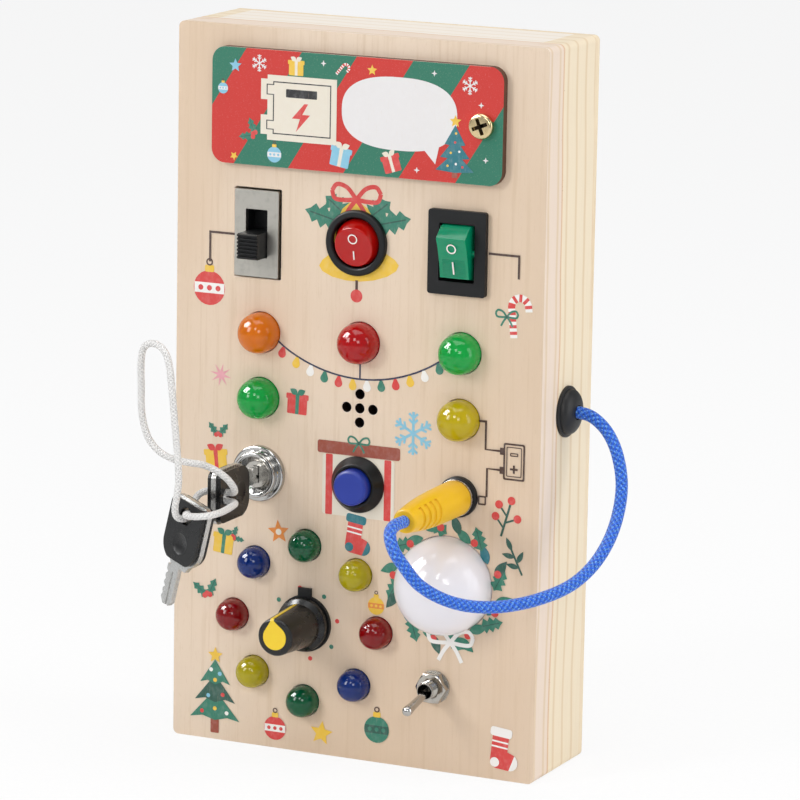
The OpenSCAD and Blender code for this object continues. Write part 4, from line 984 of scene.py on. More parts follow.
PLUG_ROUTE: tuple[Place, ...] = (
    (59, 0, 125), (66, 0, 125), (74, 0, 125), (79, 0, 123.5), (84, 0, 119), (88, -1, 112),
    (91, -4, 103), (92, -9, 94), (92, -17, 86), (90, -26, 79), (86, -36, 74), (79, -47, 71),
    (71, -57, 70), (63, -65, 71), (56, -71, 74), (50, -76, 79), (45.5, -78, 85),
    (42, -78.5, 90), (39.6, -76.5, 94.6), (39, -72, 96.5), (39, -64.4, 96.5))
LOOP_ROUTE: tuple[Place, ...] = (
    (-40.6, -64.3, 88.5), (-41.6, -66.8, 88.8), (-42.4, -68.6, 89.4), (-42.8, -69.8, 91),
    (-42.7, -70.2, 93.6), (-42.2, -69.8, 97.5), (-42.1, -69, 102), (-42.7, -68.2, 107),
    (-43.6, -67.4, 112), (-44.6, -66.6, 117.5), (-45.6, -65.9, 123), (-46.5, -65.2, 128.5),
    (-47.5, -64.5, 134), (-48.6, -63.7, 139), (-50.4, -62.8, 143.2), (-53.4, -61.9, 145.7),
    (-57, -61.1, 146.2), (-60, -60.4, 144.6), (-61.4, -59.8, 141), (-61.8, -59.3, 136),
    (-61.8, -59, 130), (-61.8, -58.9, 124), (-61, -58.7, 118), (-58.8, -58.6, 112.6),
    (-54.8, -58.6, 108.8), (-49.6, -58.5, 106.8), (-44, -58.2, 106.2), (-39, -57.5, 105.8),
    (-34.6, -56.6, 104.2), (-31.4, -55, 101.6), (-29.8, -53, 98.4), (-30.4, -50.9, 96.1),
    (-32.8, -50, 95.5), (-36, -50, 95.5), (-39.2, -50, 95.5), (-41.6, -50.6, 95.1),
    (-43, -52.4, 94.2), (-43.2, -55, 92.8), (-42.2, -57.4, 91), (-40.6, -59.4, 89.4),
    (-39.4, -61.3, 88.4), (-40.4, -63.7, 88.4))
TIE_ROUTE: tuple[Place, ...] = (
    (-38.4, -65, 90.6), (-39.5, -67.8, 90.8), (-38.9, -69.7, 90.9), (-36.5, -70.9, 91),
    (-32.5, -72.5, 91.7), (-29.3, -70.8, 92.1), (-28.1, -65.8, 92.2), (-28.4, -60, 92.2),
    (-28.9, -54.5, 92.4), (-30, -51.4, 92.5), (-33, -50, 92.5), (-36, -50, 92.5))


@dataclass
class Cord(Assembly):
    """A braided cord along a route.

    Attributes:
        name: name of the piece.
        route: the points that it passes, in mm.
        diameter: its thickness in mm.
        colour: its main colour.
        light: colour of the strands that cross over.
        pitch: length of one crossing of the braid in mm.
        strands: crossings round it.
        gap_shade: how dark the painted shade in the gaps between strands is.
        path: its middle line in metres, once it is built.
        made: the finished piece.
    """
    name: str
    route: Sequence[Place]
    diameter: float
    colour: str
    light: str
    pitch: float
    strands: int
    gap_shade: float = 0.45
    path: list[Vector] = field(default_factory=list)
    made: Optional[bpy.types.Object] = None

    def build(self) -> None:
        """Makes the tube with a UV map along it and round it."""
        self.path = smooth_path([tuple(v * MM for v in p) for p in self.route], 0.8 * MM)
        curve = bpy.data.curves.new(self.name, "CURVE")
        curve.dimensions, curve.twist_mode = "3D", "MINIMUM"
        curve.bevel_depth, curve.bevel_resolution = self.diameter / 2 * MM, 5
        curve.use_fill_caps = True
        spline = curve.splines.new("POLY")
        spline.points.add(len(self.path) - 1)
        for point, place in zip(spline.points, self.path):
            point.co = (*place, 1.0)
        source = bpy.data.objects.new("line", curve)
        bpy.context.scene.collection.objects.link(source)
        bpy.context.view_layer.update()
        mesh = bpy.data.meshes.new_from_object(source)
        mesh.name = self.name
        bpy.data.objects.remove(source)
        bpy.data.curves.remove(curve)
        shape = bmesh.new()
        shape.from_mesh(mesh)
        bmesh.ops.remove_doubles(shape, verts=shape.verts, dist=1e-7)
        bmesh.ops.recalc_face_normals(shape, faces=shape.faces)
        shape.to_mesh(mesh)
        shape.free()
        finish = Braided(f"polyester_{self.name}_braided", self.colour, 0.62, self.light,
                         path_length(self.path) / MM, self.pitch, self.strands, self.gap_shade)
        mesh.materials.clear()
        mesh.materials.append(finish.material())
        mesh.shade_smooth()
        self.made = bpy.data.objects.new(self.name, mesh)
        bpy.context.scene.collection.objects.link(self.made)

    def declare(self, far_end: str, stiffness: str, with_pieces: Sequence) -> None:
        """Takes what this cord is and what is on it, and does nothing with them.

        Args:
            far_end: what its far end is tied to; not used.
            stiffness: how limp it is; not used.
            with_pieces: pieces that hang on it; not used.
        """


# ---------------------------------------------------------------- board

@dataclass
class Board(Assembly):
    """Front panel, frame and back panel.

    Attributes:
        eased: rounding of the panel's outer edges in mm.
        hole_eased: rounding of its holes.
        hole_gap: gap between a fixed body and its hole.
        lamp_gap: gap round a lamp.
        sound_hole: diameter of a sound hole.
        sound_pitch: distance from one sound hole to the next.
        battery_hole, slide_hole: width and height of the openings for these.
        lamp, small_lamp: radii of the lamps behind the panel.
    """
    eased: float = 0.9
    hole_eased: float = 0.25
    hole_gap: float = 0.2
    lamp_gap: float = 0.4
    sound_hole: float = 3.5
    sound_pitch: float = 4.9
    battery_hole: Point = (48.9, 33.1)
    slide_hole: Point = (17.7, 31.0)
    lamp: float = 6.7
    small_lamp: float = 5.2

    def holes(self) -> list[list[Point]]:
        """Outlines of all holes in the front panel."""
        s, g = SIZE, self.hole_gap
        width, height = SquareRocker.body
        result = [
            rounded(*self.battery_hole, 0.6, s.upper, s.cover),
            circle(BatteryCase.screw_x, s.cover, BatteryCase.screw_hole, 24),
            rounded(*self.slide_hole, 0.5, s.slide, s.switches, 3),
            circle(s.upper, s.switches, RoundRocker.body + g, 56),
            rounded(width + 2 * g, height + 2 * g, 0.4, s.square, s.switches, 3),
            circle(s.left, s.controls, Lock.body + g, 48),
            circle(s.middle, s.controls, PushButton.body + g, 48),
            circle(s.right, s.controls, Plug.socket + g, 40),
            circle(*s.globe, Globe.diameter / 2 + g, 88),
            circle(*s.dial, Knob.neck + g, 40),
            circle(*s.toggle, Toggle.neck + g, 32)]
        lamps = [(s.left, s.upper_lamps), (s.middle, s.upper_lamps), (s.right, s.upper_lamps),
                 (s.left, s.lower_lamps), (s.right, s.lower_lamps)]
        result += [circle(*p, self.lamp + self.lamp_gap, 56) for p in lamps]
        result += [circle(*s.ring_place(i), self.small_lamp + self.lamp_gap, 48)
                   for i in range(8)]
        for i, j in ((0, 0), (1, 0), (-1, 0), (0, 1), (0, -1)):
            result.append(circle(s.middle + i * self.sound_pitch,
                                 s.lower_lamps + j * self.sound_pitch, self.sound_hole / 2, 28))
        return result

    def front_panel(self) -> None:
        """The plywood front with all its holes and eased edges."""
        s = SIZE
        shape = Form()
        outline = rounded(s.width, s.height, s.corner, 0, s.height / 2, 10)
        shape.prism(outline, -s.panel, 0, self.holes())
        half = s.width / 2

        def outer(p: Vector) -> bool:
            """Whether a point of an edge lies on the board's outline."""
            return p.z > -0.1 and (abs(p.x) > half - s.corner - 0.1 or p.y < s.corner + 0.1
                                   or p.y > s.height - s.corner - 0.1)

        shape.soften(self.hole_eased, lambda p: p.z > -0.1 and not outer(p), 1)
        shape.soften(self.eased, outer, 4)
        shape.bm.normal_update()
        reach = self.sound_pitch + self.sound_hole
        for face in shape.bm.faces:
            face.material_index = 0 if face.normal.z > 0.75 else 1
            away = face.calc_center_median().xy - Vector((s.middle, s.lower_lamps))
            if face.normal.z < 0.5 and away.length < reach:
                face.material_index = 2
        shape.piece("front_plywood", (BIRCH, PINE, SCORCHED), "board", on_front(),
                    ["front_panel"], "birch_ply", 30)

    def build(self) -> None:
        """Makes the panel and dresses the frame behind it."""
        self.front_panel()
        for node in ("rail_left", "rail_right"):
            dress_node(node, PINE)
        dress_node("end_rails", PINE_END)
        dress_node("back_panel", BACK, 0.5)
        dress_node("back_screws", STEEL)


# ---------------------------------------------------------------- printed ornaments

class Print:
    """Flat ink shapes on one seat; each new shape lies step mm over those before it."""
    step: float = 0.0006

    def __init__(self, name: str, lift: float = 0.05) -> None:
        """Starts an empty print that lies lift mm over its ground."""
        self.name = name
        self.form = Form()
        self.inks: list[str] = []
        self.height = lift

    def area(self, ink: str, outline: Sequence[Point],
             holes: Iterable[Sequence[Point]] = ()) -> None:
        """Adds one filled outline."""
        if ink not in self.inks:
            self.inks.append(ink)
        self.form.sheet(outline, self.height, self.inks.index(ink), holes)
        self.height += self.step

    def dot(self, ink: str, x: float, y: float, radius: float) -> None:
        """Adds a dot."""
        self.area(ink, circle(x, y, radius, 24))

    def frame(self, ink: str, outer: Place, inner: Place, x: float, y: float,
              steps: int) -> None:
        """Adds a rounded frame; outer and inner are width, height and corner radius."""
        self.area(ink, rounded(*outer, x, y, steps), [rounded(*inner, x, y, steps)])

    def stroke(self, ink: str, line: Sequence[Point], width: float) -> None:
        """Adds a line of that width."""
        self.area(ink, ribbon(line, width))

    def star(self, x: float, y: float, radius: float, ink: str, lean: float = 90.0) -> None:
        """Five-pointed star."""
        self.area(ink, shifted(star(5, radius, radius * 0.46, lean), x, y))

    def leaf(self, x: float, y: float, length: float, width: float, turn: float,
             ink: str = "green", vein: Optional[str] = "dark_green") -> None:
        """Plain pointed leaf that starts at (x, y)."""
        upper = [(length * t / 10, width / 2 * math.sin(math.pi * (t / 10) ** 0.85))
                 for t in range(11)]
        lower = [(px, -py) for px, py in upper[::-1][1:-1]]
        self.area(ink, shifted(upper + lower, x, y, turn))
        if vein:
            self.stroke(vein, shifted([(0.1 * length, 0), (0.8 * length, 0)], x, y, turn),
                        0.07 * width + 0.1)

    def snowflake(self, x: float, y: float, radius: float, ink: str) -> None:
        """Six-armed snow crystal."""
        width = radius * 0.13
        for i in range(6):
            arm = 60 * i + 30
            self.stroke(ink, shifted([(0, 0), (radius, 0)], x, y, arm), width)
            for share in (0.45, 0.72):
                for side in (-1, 1):
                    branch = [(share * radius, 0),
                              ((share + 0.2) * radius, side * 0.22 * radius)]
                    self.stroke(ink, shifted(branch, x, y, arm), width * 0.85)

    def bauble(self, x: float, y: float, radius: float, ink: str, band: str) -> None:
        """Round ornament with a cap, a loop and a band."""
        self.dot(ink, x, y, radius)
        w, h = 0.95 * radius, 0.3 * radius
        self.area(band, [(x - w, y - h), (x + w, y - h), (x + w, y + h), (x - w, y + h)])
        for i in (-0.55, 0.0, 0.55):
            self.dot(ink, x + i * radius, y, 0.16 * radius)
        self.area("yellow", rounded(0.6 * radius, 0.4 * radius, 0.1 * radius,
                                    x, y + 1.12 * radius, 3))
        self.area("brown", circle(x, y + 1.5 * radius, 0.22 * radius, 16),
                  [circle(x, y + 1.5 * radius, 0.13 * radius, 16)])

    def gift(self, x: float, y: float, size: float, ink: str, band: str, turn: float = 0.0) -> None:
        """Wrapped box with a lid and a bow."""
        self.area(ink, shifted(rounded(size, 0.8 * size, 0.06 * size, 0, 0, 3), x, y, turn))
        self.area(band, shifted(rounded(0.18 * size, 0.8 * size, 0.01 * size), x, y, turn))
        self.area(ink, shifted(rounded(1.14 * size, 0.26 * size, 0.05 * size, 0, 0.42 * size, 3),
                               x, y, turn))
        self.area(band, shifted(rounded(0.2 * size, 0.26 * size, 0.01 * size, 0, 0.42 * size),
                                x, y, turn))
        knot = shifted([(0, 0.54 * size)], x, y, turn)[0]
        for lean in (28, 152):
            self.leaf(*knot, 0.44 * size, 0.3 * size, turn + lean, band, None)

    def cane(self, x: float, y: float, size: float, turn: float = 0.0, mirror: int = 1) -> None:
        """Striped sugar stick with a crook."""
        line = [(0, -size), (0, 0.2 * size)] + arc((0.36 * size, 0.2 * size), 0.36 * size,
                                                   180, 0, 10) + [(0.72 * size, 0)]
        line = [(mirror * px, py) for px, py in line]
        path = smooth_path([(px, py, 0) for px, py in line], size * 0.13)
        flat = shifted([(p.x, p.y) for p in path], x, y, turn)
        self.stroke("white", flat, 0.3 * size)
        for i in range(1, len(flat) - 2, 2):
            self.area("red", ribbon(flat[i:i + 2], 0.3 * size))

    def holly(self, x: float, y: float, length: float, width: float, turn: float,
              ink: str = "green") -> None:
        """Holly leaf with three points on each side."""
        side = [(0.1, 0.3), (0.2, 1.0), (0.36, 0.5), (0.48, 1.0), (0.62, 0.45), (0.74, 0.78),
                (0.86, 0.3)]
        upper = [(length * px, width / 2 * py) for px, py in side]
        outline = [(0, 0), *upper, (length, 0), *[(px, -py) for px, py in upper[::-1]]]
        self.area(ink, shifted(outline, x, y, turn))
        self.stroke("dark_green", shifted([(0.1 * length, 0), (0.85 * length, 0)], x, y, turn),
                    0.05 * width + 0.1)

    def sprig(self, x: float, y: float, size: float, turn: float, berries: bool = True) -> None:
        """Two holly leaves with red berries."""
        for lean in (-38, 38):
            self.holly(x, y, size, 0.5 * size, turn + lean)
        if berries:
            for lean in (-60, 0, 60):
                px, py = shifted([(0.16 * size, 0)], x, y, turn + lean)[0]
                self.dot("red", px, py, 0.13 * size)

    def twig(self, x: float, y: float, size: float, turn: float, tip: str) -> None:
        """Thin stem with side stems that end in berries or small leaves."""
        self.stroke("dark_green", shifted([(0, 0), (size, 0)], x, y, turn), 0.06 * size)
        ends = [(1.0, 0)] + [(s, side * 0.3) for s, side in ((0.45, 1), (0.6, -1), (0.78, 1))]
        for along, side in ends:
            root = (max(along - 0.22, 0) * size, 0)
            end = (along * size, side * size)
            self.stroke("dark_green", shifted([root, end], x, y, turn), 0.05 * size)
            if tip == "berry":
                px, py = shifted([end], x, y, turn)[0]
                self.dot("red", px, py, 0.11 * size)
            else:
                px, py = shifted([root], x, y, turn)[0]
                angle = turn + math.degrees(math.atan2(end[1], end[0] - root[0]))
                self.leaf(px, py, 0.42 * size, 0.16 * size, angle, "dark_green", None)

    def bow(self, x: float, y: float, size: float, ink: str, knot: str) -> None:
        """Ribbon bow with two loops and two tails."""
        over = [(0, 0), (0.45, 0.5), (0.95, 0.62), (1.2, 0.32)]
        under = [(1.2, 0.34), (1.05, -0.02), (0.55, -0.06), (0, 0)]
        tail = [(0, 0), (0.35, -0.45), (0.62, -0.95)]
        for side in (-1, 1):
            for part in (tail, over, under):
                path = smooth_path([(side * px, py, 0) for px, py in part], 0.08)
                line = shifted([(p.x * size, p.y * size) for p in path], x, y)
                self.area(ink, ribbon(line, 0.2 * size))
        self.area(knot, rounded(0.34 * size, 0.3 * size, 0.12 * size, x, y, 3))

    def stocking(self, x: float, y: float, size: float, ink: str, cuff: str,
                 turn: float = 0.0) -> None:
        """Plain stocking with a cuff, a heel and a toe."""
        leg = [(-0.3, 0.6), (0.3, 0.6), (0.3, -0.02), *arc((0.42, -0.36), 0.3, 80, -90, 8),
               *arc((-0.04, -0.4), 0.26, -90, -180, 5)]
        toe = arc((0.42, -0.36), 0.3, 60, -90, 8)
        for colour, outline in ((ink, leg), (cuff, toe), (cuff, circle(-0.12, -0.46, 0.17, 16)),
                                (cuff, rounded(0.8, 0.32, 0.1, 0, 0.62, 3))):
            self.area(colour, shifted([(px * size, py * size) for px, py in outline], x, y, turn))
        for share in (0.1, 0.28):
            self.stroke("white", shifted([(-0.3 * size, share * size), (0.3 * size, share * size)],
                                         x, y, turn), 0.06 * size)

    def bell(self, x: float, y: float, size: float, ink: str, holes: Iterable = ()) -> None:
        """Plain bell with a wide brim and a round clapper.

        Args:
            x, y: its middle.
            size: half its height.
            ink: its colour.
            holes: outlines that are left free of ink.
        """
        half = [(0.0, 1.0), (0.16, 0.97), (0.34, 0.84), (0.47, 0.6), (0.55, 0.3), (0.62, 0.0),
                (0.74, -0.26), (0.98, -0.42), (1.08, -0.56), (1.0, -0.7), (0.74, -0.84),
                (0.38, -0.93), (0.0, -0.96)]
        line = half + [(-px, py) for px, py in half[::-1][1:-1]]
        self.area(ink, shifted([(size * px, size * py) for px, py in line], x, y, 5), holes)
        self.stroke("brown", [(x, y - 0.93 * size), (x, y - 1.18 * size)], 1.0)
        self.dot("red", x, y - 1.32 * size, 0.16 * size)

    def finish(self, body: str, seat: Matrix) -> None:
        """Makes the print one piece on its seat."""
        self.form.piece(self.name, [INKS[name] for name in self.inks], body, seat,
                        smooth=30, closed=False)


@dataclass
class FrontPrint(Assembly):
    """Winter ornaments and wiring lines printed on the front.

    Attributes:
        line_width: width of the printed wiring lines in mm.
    """
    line_width: float = 0.75

    def wires(self, ink: Print) -> None:
        """Lines that join the switches, lamps and jack."""
        s, left, right, jack = SIZE, -55.8, 59.2, 49.2
        for line in (
                [(s.slide - 8.6, s.switches - 1), (left, s.switches - 1)],
                [(left, s.switches - 0.6), (left, 168.2)],
                [(s.square + 10.9, s.switches + 0.6), (right, s.switches + 0.6)],
                [(right, s.switches + 1), (right, 172.4)],
                [(s.right + 5, 123.2), (48.8, 123.2)],
                [(48.5, 123.6), (48.5, 113.7), (53.8, 113.7)],
                [(53.8, 107.2), (jack, 107.2), (jack, s.controls + 0.9)]):
            ink.stroke("line", line, self.line_width)
        ink.frame("line", (3.0, 3.2, 0.4), (1.9, 2.1, 0.2), 47.6, s.controls - 0.4, 2)
        self.battery(ink, 59.0, 110.4)

    def battery(self, ink: Print, x: float, y: float) -> None:
        """Battery sign: a double frame, two terminals on its left, minus and plus."""
        ink.frame("line", (7.8, 12.6, 0.6), (6.6, 11.4, 0.4), x, y, 3)
        ink.frame("line", (5.6, 10.2, 0.4), (5.0, 9.6, 0.3), x, y, 3)
        for z in (y + 3.3, y - 3.2):
            ink.area("line", rounded(1.6, 2.4, 0.2, x - 4.4, z, 2))
        ink.frame("line", (3.0, 1.2, 0.3), (2.2, 0.5, 0.1), x, y + 2.5, 2)
        ink.stroke("line", [(x - 1.4, y - 2.5), (x + 1.4, y - 2.5)], 0.7)
        ink.stroke("line", [(x, y - 3.9), (x, y - 1.1)], 0.7)

    def garland(self, ink: Print) -> None:
        """Sagging line with small coloured drops between the lamps."""
        s = SIZE
        span, sag = 63, 10.6
        line = [(s.left + 6 + span * t / 24,
                 s.upper_lamps - 2.0 - sag * (1 - (t / 12 - 1) ** 2) ** 0.9) for t in range(25)]
        ink.stroke("navy", line, 0.6)
        ink.stroke("navy", [(s.middle, s.upper_lamps - 6), (s.middle, line[12][1])], 0.6)
        shades = ("red", "yellow", "white", "green")
        for i, t in enumerate(range(1, 24, 2)):
            x, y = line[t]
            drop = [(-0.5, 0), (0.5, 0)] + arc((0, -2.4), 1.45, 30, -210, 12)
            ink.area(shades[i % 4], shifted(drop, x, y - 0.3, 16 * (t / 12 - 1)))

    def upper(self, ink: Print) -> None:
        """Ornaments from the switches down to the lower lamps."""
        s = SIZE
        ink.bauble(-56.0, 159.0, 6.0, "red", "white")
        for lean, size in ((34, 13.5), (146, 13.5), (58, 10), (122, 10)):
            start = shifted([(8.0, 0)], s.upper, s.switches + 2, lean)[0]
            ink.holly(*start, size, 8.6, lean - 20 if lean < 90 else lean + 20)
        ink.bell(s.upper, s.switches, 13.8, "yellow", [circle(s.upper, s.switches, 10.0, 48)])
        ink.bow(s.upper - 0.6, s.switches + 14.6, 7.6, "red", "red")
        ink.cane(57.0, 161.0, 8.6, 6)
        ink.bow(55.2, 159.4, 3.4, "green", "dark_green")
        ink.area("pink", shifted(star(8, 4.2, 1.3, 78), -51.2, 129.2))
        ink.gift(-22.0, 121.4, 7.4, "red", "green", -2)
        ink.snowflake(21.7, 116.3, 7.4, "sky")

    def middle(self, ink: Print) -> None:
        """Ornaments beside the lock and the button."""
        s = SIZE
        ink.gift(-52.6, 98.6, 8.0, "yellow", "red", 6)
        ink.sprig(-52.0, 107.6, 6.0, 90)
        self.parcel(ink, s.middle, s.controls)
        ink.twig(54.8, 84.6, 13.0, 74, "berry")
        ink.twig(62.8, 72.0, 11.5, 116, "leaf")
        ink.star(-28.4, 76.6, 4.2, "orange", 96)
        ink.dot("cream", -28.4, 76.6, 1.1)
        ink.stocking(0.2, 78.6, 9.4, "red", "teal", -8)
        ink.gift(-49.6, 69.6, 7.4, "yellow", "green", -6)
        ink.sprig(-46.0, 72.6, 4.6, 30)

    def parcel(self, ink: Print, x: float, y: float) -> None:
        """Plain striped parcel with a lid and a bow, behind the button."""
        ink.area("cream", rounded(27.0, 21.0, 1.0, x, y - 1.0, 4), [circle(x, y, 8.6, 48)])
        for side in (-1, 1):
            ink.area("red", rounded(2.6, 21.0, 0.3, x + side * 11.0, y - 1.0, 2))
        ink.area("rust", rounded(31.0, 4.4, 0.8, x, y + 11.9, 3))
        ink.bow(x, y + 14.2, 3.4, "green", "dark_green")

    def lower(self, ink: Print) -> None:
        """Ornaments round the knob and the globe, and along the lower edge."""
        s = SIZE
        ink.sprig(-55.4, 50.6, 7.4, 104)
        for i in range(8):
            x, y = shifted([(12.4, 0)], *s.dial, 45 * i + 10)[0]
            ink.dot(("red", "green")[i % 2], x, y, 0.8)
        ink.bauble(9.0, 55.0, 3.1, "yellow", "orange")
        for i in range(24):
            angle = 15.0 * i
            shade = ("green", "dark_green", "teal", "green")[i % 4]
            x, y = shifted([(17.6 + 0.8 * (i % 2), 0)], *s.globe, angle)[0]
            if i % 3 == 0:
                ink.holly(x, y, 8.6, 5.4, angle + 62, "green")
            else:
                ink.leaf(x, y, 7.4, 3.4, angle + (38 if i % 2 else 80), shade, None)
        for i in range(9):
            x, y = shifted([(19.8 - (i % 2) * 1.2, 0)], *s.globe, 40 * i + 17)[0]
            ink.dot("red", x, y, 1.35)
        ink.bow(s.globe[0] + 2.0, s.globe[1] - 19.8, 7.0, "white", "white")
        self.tree(ink, -52.2, 4.6)
        ink.bauble(-28.8, 7.0, 4.2, "red", "white")
        ink.star(-11.0, 7.6, 4.4, "yellow", 84)
        ink.bauble(10.0, 11.6, 4.7, "green", "dark_green")
        ink.stocking(56.0, 10.6, 10.0, "red", "white", -6)

    def tree(self, ink: Print, x: float, y: float) -> None:
        """Fir in three tiers with round ornaments and a star."""
        ink.area("rust", rounded(3.2, 5.4, 0.3, x, y + 0.4, 2))
        for level, (half, rise) in enumerate(((9.6, 10.6), (7.8, 9.6), (5.8, 8.6))):
            base = y + 2.6 + 6.4 * level
            ink.area("green" if level != 1 else "dark_green",
                     [(x - half, base), (x - half * 0.5, base + 0.9), (x, base - 0.4),
                      (x + half * 0.5, base + 0.9), (x + half, base), (x, base + rise)])
        for i, (dx, dy) in enumerate(((-5, 5), (0, 6.4), (4.6, 5.2), (-2.6, 10.8), (3, 11.6),
                                      (0, 16.6), (-1.6, 20.2), (1.8, 19))):
            ink.dot(("red", "yellow", "white", "sky")[i % 4], x + dx, y + dy, 0.75)
        ink.star(x, y + 25.4, 3.0, "yellow")

    def build(self) -> None:
        """Prints everything on the front."""
        ink = Print("front_print")
        self.upper(ink)
        self.garland(ink)
        self.middle(ink)
        self.lower(ink)
        self.wires(ink)
        ink.finish("board", on_front())


# ---------------------------------------------------------------- battery case

@dataclass
class BatteryCase(Assembly):
    """Printed cover with its screw, and the tray, cells and contacts behind it.

    Attributes:
        width, height, thick, corner: sizes of the cover.
        screw_x: sideways place of its screw.
        screw_hole: radius of the screw's holes.
        head: diameter of the screw's head.
        head_rise: height of that head.
    """
    width: float = 107.8
    height: float = 39.7
    thick: float = 3.0
    corner: float = 5.0
    screw_x: float = 46.1
    screw_hole: float = 1.8
    head: float = 8.7
    head_rise: float = 2.4

    def cover(self) -> None:
        """The swinging plate with a pale rim and browned edges."""
        shape = Form()
        hole = circle(self.screw_x - SIZE.upper, 0, self.screw_hole, 32)
        shape.prism(rounded(self.width, self.height, self.corner, 0, 0, 12), 0, self.thick, [hole])
        for face in shape.bm.faces:
            face.normal_update()
            face.material_index = 0 if face.normal.z > 0.5 else 1
        shape.soften(0.45, lambda p: p.z > self.thick - 0.1 and p.x < self.screw_x, 2, material=2)
        shape.piece("cover_plate", (COVER_INK, BURNT, RIM), "cover",
                    on_front(SIZE.upper, SIZE.cover), ["battery_cover"], "cover_ply", 30)

    def screw(self) -> None:
        """Domed brass head with a cross recess whose floor carries painted shade, and the shank."""
        h, r = self.head_rise, self.head / 2
        head = Form().revolve([(0, 0), (r, 0), *arc((r - h / 2, h / 2), h / 2, 0, 90, 8), (0, h)])
        for angle in (22, 112):
            slot = Form().block((0.66 * self.head, 1.3, h), (0, 0, 0.2 * h + h / 2))
            head.carve(slot.turn(turned(angle, "Z")))
        head.soften(0.06, None, 1, 50)
        # Thin dark floors in the slots: painted shade in the recess.
        for angle in (22, 112):
            floor = Form().block((0.64 * self.head, 1.26, 0.1), (0, 0, 0.2 * h), 0, 1)
            head.join(floor.turn(turned(angle, "Z")))
        shape = Form().join(head, moved(0, 0, self.thick))
        shape.revolve([(0, -7), (1.2, -7), (1.75, -6), (1.75, self.thick), (0, self.thick)])
        seat = on_front(self.screw_x, SIZE.cover)
        shape.piece("cover_screw_brass", (BRASS, RECESS_PAINTED_SHADE), "board", seat, ["cover_screw"],
                    "brass", 30)

    def art(self) -> None:
        """Battery sign, blank label and small ornaments printed on the cover."""
        ink = Print("cover_print", self.thick + 0.03)
        x0, y0 = SIZE.upper, SIZE.cover

        def at(x: float, z: float) -> Point:
            """Board place as a place on the cover."""
            return x - x0, z - y0

        ink.snowflake(*at(-36.4, 238.0), 2.9, "label")
        ink.gift(*at(-22.6, 236.9), 5.4, "yellow", "cream")
        ink.cane(*at(-5.5, 238.9), 3.3, -40)
        ink.star(*at(5.6, 238.6), 1.9, "yellow")
        ink.snowflake(*at(41.4, 236.0), 3.0, "label")
        ink.sprig(*at(-37.6, 213.4), 6.4, 150)
        ink.bauble(*at(-30.4, 207.4), 2.7, "sky", "label")
        ink.star(*at(-45.4, 236.6), 2.4, "sky")
        ink.bauble(*at(-50.0, 228.6), 1.9, "sky", "label")
        ink.star(*at(-45.6, 205.8), 1.6, "yellow", 60)
        self.battery_sign(ink, *at(-20.25, 223.35))
        bubble = [(21.2 * abs(math.cos(a)) ** 0.8 * (1 if math.cos(a) > 0 else -1),
                   12.3 * abs(math.sin(a)) ** 0.8 * (1 if math.sin(a) > 0 else -1))
                  for a in (2 * math.pi * i / 72 for i in range(72))]
        ink.area("label", shifted(bubble, *at(15.8, 224.7)))
        ink.area("label", [at(23.2, 215.4), at(31.2, 217.6), at(29.3, 208.9)])
        ink.gift(*at(-5.8, 208.0), 7.0, "sky", "cream", -10)
        ink.gift(*at(13.4, 207.4), 6.2, "red", "cream", 18)
        self.small_tree(ink, *at(36.4, 207.2))
        for px, pz in ((28.4, 239.2), (47.6, 211.6), (-12.4, 239.6), (45.6, 229.8), (22.6, 206.4)):
            ink.area("label", shifted(star(4, 1.1, 0.4), *at(px, pz)))
        ink.finish("cover", on_front(SIZE.upper, SIZE.cover))

    def battery_sign(self, ink: Print, x: float, y: float) -> None:
        """Case with two terminals on its left, a bar and a bolt."""

        def case(inset: float) -> list[Point]:
            """Stepped outline of the case, drawn in all round."""
            w, h, t = 12.95 - inset, 11.05 - inset, 15.4 - inset
            line = [(w, h), (w, -h), (-w, -h)]
            for low, high in ((-9.2, -2.6), (2.6, 9.6)):
                low, high = low + inset * 0.8, high - inset * 0.8
                line += [(-w, low), (-t, low), (-t, high), (-w, high)]
            return shifted([*line, (-w, h)], x, y)

        ink.area("cream", case(0))
        ink.area("black", case(2.1), [case(2.5)])
        ink.area("black", rounded(11.6, 2.8, 0.3, x - 0.2, y + 5.2, 3))
        bolt = [(1.2, 4.6), (-3.4, -0.6), (-0.4, -0.6), (-1.8, -5.0), (3.4, 0.9), (0.5, 0.9),
                (2.6, 4.6)]
        ink.area("red", shifted(bolt, x - 0.3, y - 2.6))

    def small_tree(self, ink: Print, x: float, y: float) -> None:
        """Small fir with dots and a star."""
        ink.area("rust", rounded(2.0, 2.6, 0.2, x, y - 1.0, 2))
        for level, half in enumerate((7.0, 5.4, 3.8)):
            base = y + 4.4 * level
            ink.area("teal", [(x - half, base), (x, base - 0.6), (x + half, base), (x, base + 6.6)])
        for i in range(7):
            ink.dot(("yellow", "white", "red")[i % 3], x + (-2.6, 0.4, 2.8, -1.5, 1.6, 0, 0.3)[i],
                    y + (1.6, 2.4, 1.5, 6.0, 6.6, 9.6, 12.6)[i], 0.42)
        ink.star(x, y + 16.6, 2.2, "yellow")

    def build(self) -> None:
        """Makes the cover and dresses what lies behind it."""
        self.cover()
        self.screw()
        self.art()
        dress_node("battery_tray", BLACK, 0.2)
        dress_node("battery_contacts", STEEL)
        dress_node("battery_cells", CELL_WRAP, 0.3)


# ---------------------------------------------------------------- switches

